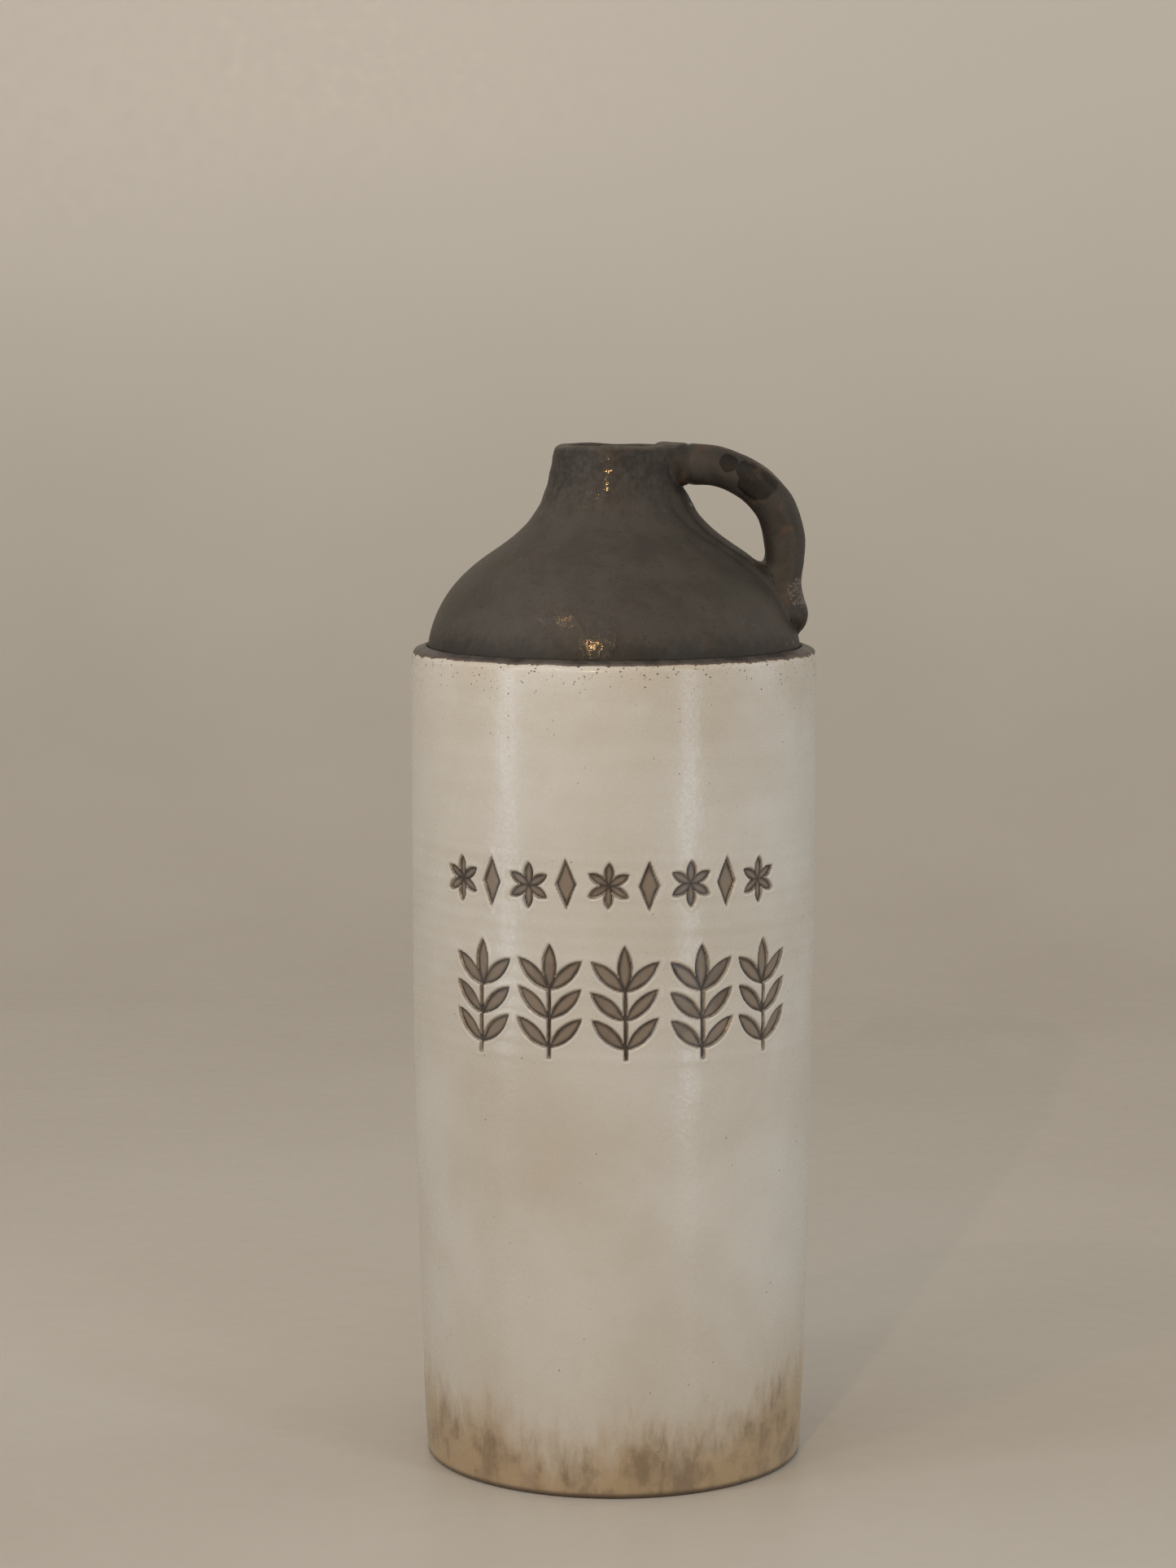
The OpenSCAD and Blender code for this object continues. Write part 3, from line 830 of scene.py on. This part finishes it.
def blend(tree, factor, first, second):
    node = put(tree, "ShaderNodeMix", data_type="RGBA", clamp_factor=True)
    for index, value in ((0, factor), (6, first), (7, second)):
        feed(tree, node.inputs[index], value)
    return node.outputs[2]


def peelGroup():
    # the dimpled skin of a salty stoneware glaze
    tree, given, place = shaderGroup("glazePeel", [("Size", "NodeSocketFloat", 350.0),
                                                   ("Grain", "NodeSocketFloat", 0.3)],
                                     [("Height", "NodeSocketFloat")])
    peel = put(tree, "ShaderNodeTexNoise", {"Vector": place, "Scale": given["Size"], "Detail": 2.0,
                                            "Roughness": 0.45}).outputs["Fac"]
    fineSize = times(tree, given["Size"], 4.3)
    fine = put(tree, "ShaderNodeTexNoise", {"Vector": place, "Scale": fineSize, "Detail": 2.0,
                                            "Roughness": 0.6}).outputs["Fac"]
    height = plus(tree, peel, times(tree, fine, given["Grain"]))
    put(tree, "NodeGroupOutput", {"Height": height})
    return tree


def speckleGroup():
    # pinpoint iron specks: round dots of mixed size, a share of which is left out
    tree, given, place = shaderGroup("ironSpeckle", [("Count", "NodeSocketFloat", 500.0),
                                                     ("Dot", "NodeSocketFloat", 0.2),
                                                     ("Share", "NodeSocketFloat", 0.5)],
                                     [("Mask", "NodeSocketFloat")])
    cells = put(tree, "ShaderNodeTexVoronoi", {"Vector": place, "Scale": given["Count"], "Randomness": 1.0})
    pick = put(tree, "ShaderNodeSeparateColor", {0: cells.outputs["Color"]}).outputs
    kept = calc(tree, "GREATER_THAN", given["Share"], pick[0])
    size = times(tree, given["Dot"], plus(tree, 0.35, calc(tree, "POWER", pick[1], 2.0)))
    dot = minus(tree, 1.0, calc(tree, "DIVIDE", cells.outputs["Distance"], size))
    soft = calc(tree, "MINIMUM", times(tree, calc(tree, "MAXIMUM", dot, 0.0), 3.0), 1.0)
    put(tree, "NodeGroupOutput", {"Mask": times(tree, soft, kept)})
    return tree


def streakGroup():
    # upright feathery runs, as of a thin wash that was wiped and then ran
    tree, given, place = shaderGroup("runStreaks", [("Fineness", "NodeSocketFloat", 300.0),
                                                    ("Length", "NodeSocketFloat", 0.12)],
                                     [("Streak", "NodeSocketFloat")])
    spread = put(tree, "ShaderNodeCombineXYZ", {0: 1.0, 1: 1.0, 2: given["Length"]}).outputs[0]
    drawn = put(tree, "ShaderNodeVectorMath", {0: place, 1: spread}, operation="MULTIPLY").outputs[0]
    streak = put(tree, "ShaderNodeTexNoise", {"Vector": drawn, "Scale": given["Fineness"], "Detail": 4.0,
                                              "Roughness": 0.62}).outputs["Fac"]
    put(tree, "NodeGroupOutput", {"Streak": streak})
    return tree


glazePeel, ironSpeckle, runStreaks = peelGroup(), speckleGroup(), streakGroup()


def newMaterial(name, **settings):
    material = bpy.data.materials.new(name)
    material.use_nodes = True
    tree = material.node_tree
    tree.nodes.clear()
    values = {key.replace("_", " "): value for key, value in settings.items()}
    shader = put(tree, "ShaderNodeBsdfPrincipled", values)
    put(tree, "ShaderNodeOutputMaterial", {"Surface": shader.outputs[0]})
    place = put(tree, "ShaderNodeTexCoord").outputs["Object"]
    return material, tree, shader, place


def useGroup(tree, group, **values):
    node = put(tree, "ShaderNodeGroup", node_tree=group)
    for key, value in values.items():
        feed(tree, node.inputs[key], value)
    return node.outputs


def finishMaterial(tree, shader, colour, roughness, height, depth, strength=1.0):
    tree.links.new(colour, shader.inputs["Base Color"])
    tree.links.new(roughness, shader.inputs["Roughness"])
    bump = put(tree, "ShaderNodeBump", {"Height": height, "Distance": depth, "Strength": strength})
    tree.links.new(bump.outputs[0], shader.inputs["Normal"])


cream = {
    "glaze": (0.565, 0.517, 0.444, 1), "pale": (0.622, 0.588, 0.530, 1), "tan": (0.49, 0.415, 0.318, 1),
    "foot": (0.405, 0.280, 0.150, 1), "stain": (0.150, 0.102, 0.066, 1), "speck": (0.085, 0.050, 0.032, 1),
    # the line tone is the bare clay's dark edge at the foot, deepened into a painted contact shadow
    "shadow": (0.20, 0.150, 0.105, 1), "line": (0.07, 0.045, 0.03, 1),
    "peel": 0.00007,
    "sideR": 0.066,             # the foot's stain climbs towards this far out on either side
    # heights in metres between which each tone comes in
    "topBand": (0.243, 0.283), "hazeBand": (0.060, 0.006), "footBand": (0.032, 0.003),
    "smudgeBand": (0.026, 0.006), "clayLineAndShadowBand": (0.0026, 0.0008), "speckBand": (0.235, 0.281),
}


def creamGlaze():
    material, tree, shader, place = newMaterial("creamGlaze", IOR=1.5)
    peel = useGroup(tree, glazePeel, Size=430.0, Grain=0.05)
    x, _, z = put(tree, "ShaderNodeSeparateXYZ", {0: place}).outputs
    cloud = noise(tree, place, 17.0, 5.0, 0.6)
    broad = noise(tree, place, 9.0, 2.0, 0.5, offset=(4, 1, 2))
    base = blend(tree, ramp(tree, cloud, 0.35, 0.68), cream["pale"], cream["glaze"])
    base = blend(tree, times(tree, ramp(tree, broad, 0.5, 0.72), 0.38), base, cream["tan"])
    top = times(tree, ramp(tree, z, *cream["topBand"]), ramp(tree, cloud, 0.3, 0.62, 0.15, 0.65))
    base = blend(tree, top, base, cream["tan"])

    runs = useGroup(tree, runStreaks, Fineness=280.0, Length=0.30)
    wide = useGroup(tree, runStreaks, Fineness=85.0, Length=0.8)
    wave = minus(tree, noise(tree, place, 15.0, 2.0, 0.5, (1, 1, 0.2)), 0.5)
    wander = times(tree, wave, 0.040)
    aside = calc(tree, "DIVIDE", calc(tree, "ABSOLUTE", x), cream["sideR"])
    sides = times(tree, calc(tree, "POWER", aside, 3.0), 0.015)
    level = minus(tree, z, plus(tree, wander, sides))
    feather = times(tree, minus(tree, runs["Streak"], 0.5), 0.026)
    ragged = minus(tree, level, feather)
    haze = ramp(tree, ragged, *cream["hazeBand"])
    base = blend(tree, times(tree, haze, 0.45), base, cream["tan"])
    footMask = ramp(tree, ragged, *cream["footBand"])
    base = blend(tree, times(tree, footMask, 0.88), base, cream["foot"])
    smudge = ramp(tree, wide["Streak"], 0.40, 0.62)
    smudge = times(tree, smudge, ramp(tree, ragged, *cream["smudgeBand"]))
    smudge = times(tree, smudge, ramp(tree, runs["Streak"], 0.35, 0.62, 0.55, 1.0))
    base = blend(tree, times(tree, smudge, 0.60), base, cream["stain"])
    # the dark line along the very bottom is partly the bare clay edge and partly a painted contact shadow
    # where the jug stands on the floor
    clayLineAndShadow = ramp(tree, z, *cream["clayLineAndShadowBand"])
    base = blend(tree, times(tree, clayLineAndShadow, 0.85), base, cream["line"])

    share = plus(tree, 0.06, ramp(tree, z, *cream["speckBand"], 0.0, 0.55))
    fine = useGroup(tree, ironSpeckle, Count=480.0, Dot=0.125, Share=share)
    base = blend(tree, times(tree, fine["Mask"], 0.8), base, cream["speck"])
    faint = useGroup(tree, ironSpeckle, Count=170.0, Dot=0.075, Share=0.10)
    base = blend(tree, times(tree, faint["Mask"], 0.5), base, cream["speck"])
    pit = put(tree, "ShaderNodeAttribute", attribute_name="pit").outputs["Fac"]
    worn = ramp(tree, noise(tree, place, 300.0, 3.0, 0.6), 0.35, 0.65, 0.65, 1.0)
    base = blend(tree, times(tree, ramp(tree, pit, 0.01, 0.42), worn), base, cream["shadow"])

    gloss = ramp(tree, noise(tree, place, 1100.0, 2.0, 0.5, offset=(2, 2, 2)), 0.35, 0.65, 0.14, 0.31)
    finishMaterial(tree, shader, base, gloss, peel["Height"], cream["peel"])
    return material


dark = {
    "glaze": (0.041, 0.0335, 0.0275, 1), "light": (0.057, 0.048, 0.0395, 1),
    "burnt": (0.010, 0.008, 0.0065, 1),
    "rust": (0.092, 0.050, 0.027, 1), "gloss": (0.006, 0.0045, 0.0035, 1), "edge": (0.10, 0.080, 0.062, 1),
    "olive": (0.037, 0.0335, 0.0235, 1),
    "peel": 0.00009,
    # places in mm, and how far each reaches: glassy glaze, the strap's burnt patches, and its worn end
    "glassy": (((-4, -20, 344), 5.0), ((-4.5, -20, 338), 4.5), ((-5, -21, 349.5), 3.0),
                ((-7, -62, 293), 9.0), ((-19, -56, 300.5), 6.5)),
    "patches": (((49.5, -10.0, 341.8), 6.8), ((39.2, -10.0, 347.6), 3.2), ((45.0, -10.5, 345.2), 3.4)),
    "worn": ((63.5, -9.0, 303.0), 6.0), "wornTone": (0.16, 0.13, 0.115, 1),
    # heights and distances from the axis, in metres, between which each tone comes in
    "collarZ": (0.326, 0.347), "collarR": (0.030, 0.0245), "hemZ": (0.2935, 0.2850),
    "rimZ": (0.3518, 0.3534), "rimR": (0.0235, 0.0215), "boreZ": (0.3530, 0.3515), "boreR": (0.0163, 0.0156),
}


def near(tree, place, spot, size, wobble):
    # a ragged-edged patch of a given size about one point
    away = put(tree, "ShaderNodeVectorMath", {0: place, 1: tuple(c * mm for c in spot)}, operation="DISTANCE")
    reach = plus(tree, away.outputs["Value"], times(tree, wobble, 0.9 * size * mm))
    return ramp(tree, reach, size * mm * 1.06, size * mm * 0.94)


def patches(tree, place, places, wobble):
    # several such patches in one mask
    mask = 0.0
    for spot, size in places:
        mask = calc(tree, "MAXIMUM", mask, near(tree, place, spot, size, wobble))
    return mask


def darkGlaze():
    material, tree, shader, place = newMaterial("darkGlaze", IOR=1.4, Specular_Tint=(1.0, 0.88, 0.74, 1))
    peel = useGroup(tree, glazePeel, Size=450.0, Grain=0.07)
    x, y, z = put(tree, "ShaderNodeSeparateXYZ", {0: place}).outputs
    radius = calc(tree, "SQRT", plus(tree, times(tree, x, x), times(tree, y, y)))
    mottle = noise(tree, place, 75.0, 7.0, 0.7)
    grit = noise(tree, place, 900.0, 3.0, 0.65)
    base = blend(tree, ramp(tree, mottle, 0.36, 0.64), dark["glaze"], dark["light"])
    greenish = ramp(tree, noise(tree, place, 30.0, 3.0, 0.6, offset=(3, 1, 0)), 0.5, 0.7)
    base = blend(tree, times(tree, greenish, 0.6), base, dark["olive"])
    base = blend(tree, ramp(tree, grit, 0.56, 0.74, 0.0, 0.55), base, dark["burnt"])
    runs = useGroup(tree, runStreaks, Fineness=330.0, Length=0.16)
    reach = plus(tree, z, times(tree, minus(tree, runs["Streak"], 0.5), 0.045))
    collar = times(tree, ramp(tree, reach, *dark["collarZ"]), ramp(tree, radius, *dark["collarR"]))
    fleck = ramp(tree, noise(tree, place, 420.0, 3.0, 0.6), 0.40, 0.58, 0.45, 1.0)
    base = blend(tree, times(tree, times(tree, collar, fleck), 0.74), base, dark["burnt"])
    hemNoise = times(tree, minus(tree, noise(tree, place, 260.0, 4.0, 0.6), 0.5), 0.012)
    hem = ramp(tree, plus(tree, z, hemNoise), *dark["hemZ"])
    base = blend(tree, times(tree, hem, 0.72), base, dark["burnt"])
    rim = times(tree, ramp(tree, z, *dark["rimZ"]), ramp(tree, radius, *dark["rimR"]))
    base = blend(tree, times(tree, rim, ramp(tree, mottle, 0.35, 0.6, 0.25, 0.85)), base, dark["edge"])
    handle = put(tree, "ShaderNodeAttribute", attribute_name="handle").outputs["Fac"]
    base = blend(tree, times(tree, handle, 0.24), base, dark["burnt"])
    wobble = minus(tree, noise(tree, place, 190.0, 4.0, 0.6), 0.5)
    bare = patches(tree, place, dark["patches"], wobble)
    base = blend(tree, times(tree, bare, 0.97), base, dark["gloss"])
    tint = noise(tree, place, 95.0, 5.0, 0.65, offset=(1, 2, 3))
    rusty = times(tree, ramp(tree, tint, 0.54, 0.68), plus(tree, times(tree, handle, 0.5), 0.12))
    base = blend(tree, rusty, base, dark["rust"])
    worn = times(tree, near(tree, place, *dark["worn"], wobble), ramp(tree, grit, 0.42, 0.6))
    base = blend(tree, times(tree, worn, 0.7), base, dark["wornTone"])
    specks = useGroup(tree, ironSpeckle, Count=520.0, Dot=0.22, Share=0.22)
    base = blend(tree, times(tree, specks["Mask"], 0.55), base, dark["burnt"])
    inside = times(tree, ramp(tree, radius, *dark["boreR"]), ramp(tree, z, *dark["boreZ"]))
    base = blend(tree, inside, base, dark["edge"])
    beads = noise(tree, place, 430.0, 2.0, 0.5, offset=(7, 5, 3))
    glassy = times(tree, ramp(tree, beads, 0.42, 0.50), patches(tree, place, dark["glassy"], wobble))
    glassy = calc(tree, "MAXIMUM", glassy, times(tree, ramp(tree, beads, 0.66, 0.70), 0.6))
    rough = minus(tree, ramp(tree, mottle, 0.3, 0.7, 0.48, 0.56), times(tree, glassy, 0.41))
    rough = minus(tree, rough, times(tree, bare, 0.12))
    rough = calc(tree, "MAXIMUM", rough, 0.10)
    height = plus(tree, peel["Height"], times(tree, mottle, 0.3))
    crackle = times(tree, noise(tree, place, 1300.0, 2.0, 0.5), times(tree, glassy, 0.5))
    height = plus(tree, height, crackle)
    finishMaterial(tree, shader, base, rough, height, dark["peel"])
    return material


tones = {
    "ledge": (0.036, 0.028, 0.024, 1), "ledgeLight": (0.078, 0.062, 0.050, 1),
    "ledgeThin": (0.15, 0.082, 0.045, 1),
    "washEdge": (0.036, 0.026, 0.020, 1), "washMiddle": (0.235, 0.182, 0.135, 1),
    "washCloud": (0.085, 0.062, 0.046, 1),
    "clay": (0.30, 0.215, 0.145, 1), "clayPale": (0.42, 0.325, 0.235, 1), "clayGrit": (0.10, 0.06, 0.04, 1),
    "spot": (0.035, 0.024, 0.018, 1), "spotRust": (0.135, 0.068, 0.036, 1),
    "floor": (0.54, 0.49, 0.42, 1), "floorPale": (0.58, 0.53, 0.46, 1), "backdrop": (0.80, 0.755, 0.685, 1),
}


def ledgeGlazeMaterial():
    material, tree, shader, place = newMaterial("ledgeGlaze", IOR=1.5)
    peel = useGroup(tree, glazePeel, Size=420.0, Grain=0.4)
    run = put(tree, "ShaderNodeAttribute", attribute_name="run").outputs["Fac"]
    mottle = noise(tree, place, 140.0, 5.0, 0.65)
    base = blend(tree, ramp(tree, mottle, 0.35, 0.65), tones["ledge"], tones["ledgeLight"])
    thin = times(tree, ramp(tree, run, 0.80, 1.0), 0.7)
    base = blend(tree, thin, base, tones["ledgeThin"])
    rough = ramp(tree, mottle, 0.3, 0.7, 0.32, 0.5)
    finishMaterial(tree, shader, base, rough, plus(tree, peel["Height"], mottle), 0.00014)
    return material


def oxideWash():
    material, tree, shader, place = newMaterial("oxideWash", IOR=1.5)
    peel = useGroup(tree, glazePeel, Size=520.0, Grain=0.3)
    inset = put(tree, "ShaderNodeAttribute", attribute_name="inset").outputs["Fac"]
    mottle = noise(tree, place, 160.0, 4.0, 0.6)
    broad = noise(tree, place, 55.0, 3.0, 0.6)
    deep = plus(tree, inset, times(tree, minus(tree, mottle, 0.5), 1.6))
    base = blend(tree, ramp(tree, deep, 0.30, 1.9), tones["washEdge"], tones["washMiddle"])
    base = blend(tree, times(tree, ramp(tree, broad, 0.5, 0.7), 0.45), base, tones["washCloud"])
    rough = ramp(tree, mottle, 0.3, 0.7, 0.32, 0.46)
    finishMaterial(tree, shader, base, rough, peel["Height"], 0.00012)
    return material


def bareClay():
    material, tree, shader, place = newMaterial("bareClay", IOR=1.45)
    grit = useGroup(tree, ironSpeckle, Count=700.0, Dot=0.3, Share=0.3)
    clouds = noise(tree, place, 45.0, 6.0, 0.65)
    rings = noise(tree, place, 220.0, 3.0, 0.6, (0.2, 0.2, 1))
    base = blend(tree, ramp(tree, clouds, 0.32, 0.68), tones["clay"], tones["clayPale"])
    base = blend(tree, times(tree, grit["Mask"], 0.6), base, tones["clayGrit"])
    rough = ramp(tree, clouds, 0.3, 0.7, 0.72, 0.9)
    finishMaterial(tree, shader, base, rough, plus(tree, clouds, rings), 0.0003)
    return material


def ironSpot():
    material, tree, shader, place = newMaterial("ironSpot", IOR=1.5)
    mottle = noise(tree, place, 900.0, 2.0, 0.6)
    tint = noise(tree, place, 120.0, 2.0, 0.5)
    base = blend(tree, ramp(tree, tint, 0.4, 0.6), tones["spot"], tones["spotRust"])
    rough = ramp(tree, mottle, 0.3, 0.7, 0.35, 0.6)
    finishMaterial(tree, shader, base, rough, mottle, 0.00003)
    return material


def paleFloor():
    material, tree, shader, place = newMaterial("paleFloor", IOR=1.45)
    cloud = noise(tree, place, 3.0, 4.0, 0.55)
    grain = noise(tree, place, 90.0, 4.0, 0.6)
    base = blend(tree, ramp(tree, cloud, 0.3, 0.7), tones["floor"], tones["floorPale"])
    upright = ramp(tree, put(tree, "ShaderNodeSeparateXYZ", {0: place}).outputs[2], 0.0, 0.7)
    base = blend(tree, upright, base, tones["backdrop"])
    finishMaterial(tree, shader, base, ramp(tree, grain, 0.3, 0.7, 0.30, 0.42), grain, 0.0002)
    return material


materials = {
    "cream": creamGlaze(), "dark": darkGlaze(), "ledge": ledgeGlazeMaterial(), "wash": oxideWash(),
    "clay": bareClay(), "spot": ironSpot(),
}

# Pieces
bodyPiece = buildBody()
bodyPiece.data.materials.append(materials["cream"])
upperPiece = buildUpper()
upperPiece.data.materials.clear()
upperPiece.data.materials.append(materials["dark"])
ledgePiece = buildLedgeGlaze()
ledgePiece.data.materials.append(materials["ledge"])
layWash = washTree()
sprigPiece = buildWash("largeStampWash", sprigStrokes, layWash, materials["wash"])
markPiece = buildWash("smallStampWash", markStrokes, layWash, materials["wash"])
scatterSpots = spotTree()
spotPieces = [buildSpots(bodyPiece, scatterSpots, materials["spot"], name) for name in spots]

for piece, slot, nodes in (
        (bodyPiece, "cream_glaze", ["body_wall"]),
        (upperPiece, "dark_glaze", ["shoulder_dome", "neck_ring", "handle_strap", "handle_upper_pad",
                                    "handle_lower_tail"]),
        (ledgePiece, "ledge_glaze", ["ledge_glaze"]),
        (sprigPiece, "oxide_wash", ["large_stamp_wash"]),
        (markPiece, "oxide_wash", ["small_stamp_wash"]),
        (spotPieces[0], "oxide_wash", []),
        (spotPieces[1], "oxide_wash", [])):
    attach(piece, "root")
    if nodes:
        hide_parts(*nodes)

for name in ("base_disc", "floor_coil", "shoulder_coil"):
    node = frame["nodes"][name]
    node.data.materials.clear()
    node.data.materials.append(materials["clay"])

# Floor and backdrop: one plain sheet, curved up behind
stage = {"width": 5.0, "front": -2.6, "back": 1.5, "turn": 0.6, "height": 3.2}


def buildStage():
    profile = [(stage["front"], 0.0), (stage["back"] - stage["turn"], 0.0)]
    profile += [(stage["back"] - stage["turn"] + stage["turn"] * math.sin(t),
                 stage["turn"] * (1 - math.cos(t))) for t in np.radians(np.linspace(5, 90, 18))]
    profile.append((stage["back"], stage["height"]))
    half = stage["width"] / 2
    verts = [(x, y, z) for y, z in profile for x in (-half, half)]
    faces = [[2 * i, 2 * i + 1, 2 * i + 3, 2 * i + 2] for i in range(len(profile) - 1)]
    mesh = bpy.data.meshes.new("floorAndBackdrop")
    mesh.from_pydata(verts, [], faces)
    mesh.shade_smooth()
    obj = bpy.data.objects.new("floorAndBackdrop", mesh)
    scene.collection.objects.link(obj)
    obj.data.materials.append(paleFloor())
    return obj


buildStage()

# Light: two tall soft boxes, a broad key and fill, two small warm lamps and a wash on the backdrop
lamps = {
    "leftBox": {"azimuth": -60, "distance": 0.62, "z": 0.43, "size": (0.11, 0.80), "power": 0.78,
                "colour": (0.72, 0.87, 1.0), "aim": 0.43},
    "rightBox": {"azimuth": 40, "distance": 0.55, "z": 0.41, "size": (0.095, 0.80), "power": 0.78,
                 "colour": (0.72, 0.87, 1.0), "aim": 0.41},
    "key": {"azimuth": -40, "distance": 2.4, "z": 1.5, "size": (1.6, 1.6), "power": 4.0,
            "colour": (1.0, 0.97, 0.92), "aim": 0.15},
    "fill": {"azimuth": 95, "distance": 2.4, "z": 1.2, "size": (1.8, 1.8), "power": 7.0,
             "colour": (1.0, 0.97, 0.92), "aim": 0.15},
    "warmLamp": {"azimuth": -12.5, "distance": 1.9, "z": 1.14, "size": (0.025, 0.025), "power": 6.0,
                 "colour": (1.0, 0.62, 0.28), "aim": 0.3},
    "warmLampHigh": {"azimuth": -38, "distance": 1.4, "z": 1.75, "size": (0.025, 0.025), "power": 1.8,
                     "colour": (1.0, 0.62, 0.28), "aim": 0.3},
    "wallWash": {"azimuth": 250, "distance": 0.45, "z": 0.75, "size": (1.0, 1.0), "power": 1.4,
                 "colour": (0.90, 0.96, 1.0), "aim": 0.25, "aimBack": 1.5},
}


def addLamp(name, lamp):
    data = bpy.data.lights.new(name, "AREA")
    data.shape = "RECTANGLE"
    data.size, data.size_y = lamp["size"]
    data.energy = lamp["power"]
    data.color = lamp["colour"]
    obj = bpy.data.objects.new(name, data)
    a = math.radians(lamp["azimuth"])
    obj.location = (lamp["distance"] * math.sin(a), -lamp["distance"] * math.cos(a), lamp["z"])
    way = Vector((0, lamp.get("aimBack", 0), lamp["aim"])) - obj.location
    obj.rotation_euler = way.to_track_quat("-Z", "Y").to_euler()
    scene.collection.objects.link(obj)


for lampName, lamp in lamps.items():
    addLamp(lampName, lamp)
world = bpy.data.worlds.new("softRoom")
world.use_nodes = True
world.node_tree.nodes["Background"].inputs[0].default_value = (0.98, 0.96, 0.92, 1)
world.node_tree.nodes["Background"].inputs[1].default_value = 0.47
scene.world = world
scene.view_settings.view_transform = "Standard"

view = {"place": (-0.00897, -1.339, 0.398), "pitch": 6.9, "lens": 89.0}
camera = bpy.data.cameras.new("camera")
camera.lens = view["lens"]
camera.sensor_width = 36.0
cameraObj = bpy.data.objects.new("camera", camera)
cameraObj.location = view["place"]
cameraObj.rotation_euler = (math.radians(90 - view["pitch"]), 0, 0)
scene.collection.objects.link(cameraObj)
scene.camera = cameraObj

bpy.context.view_layer.update()
print("scene done")
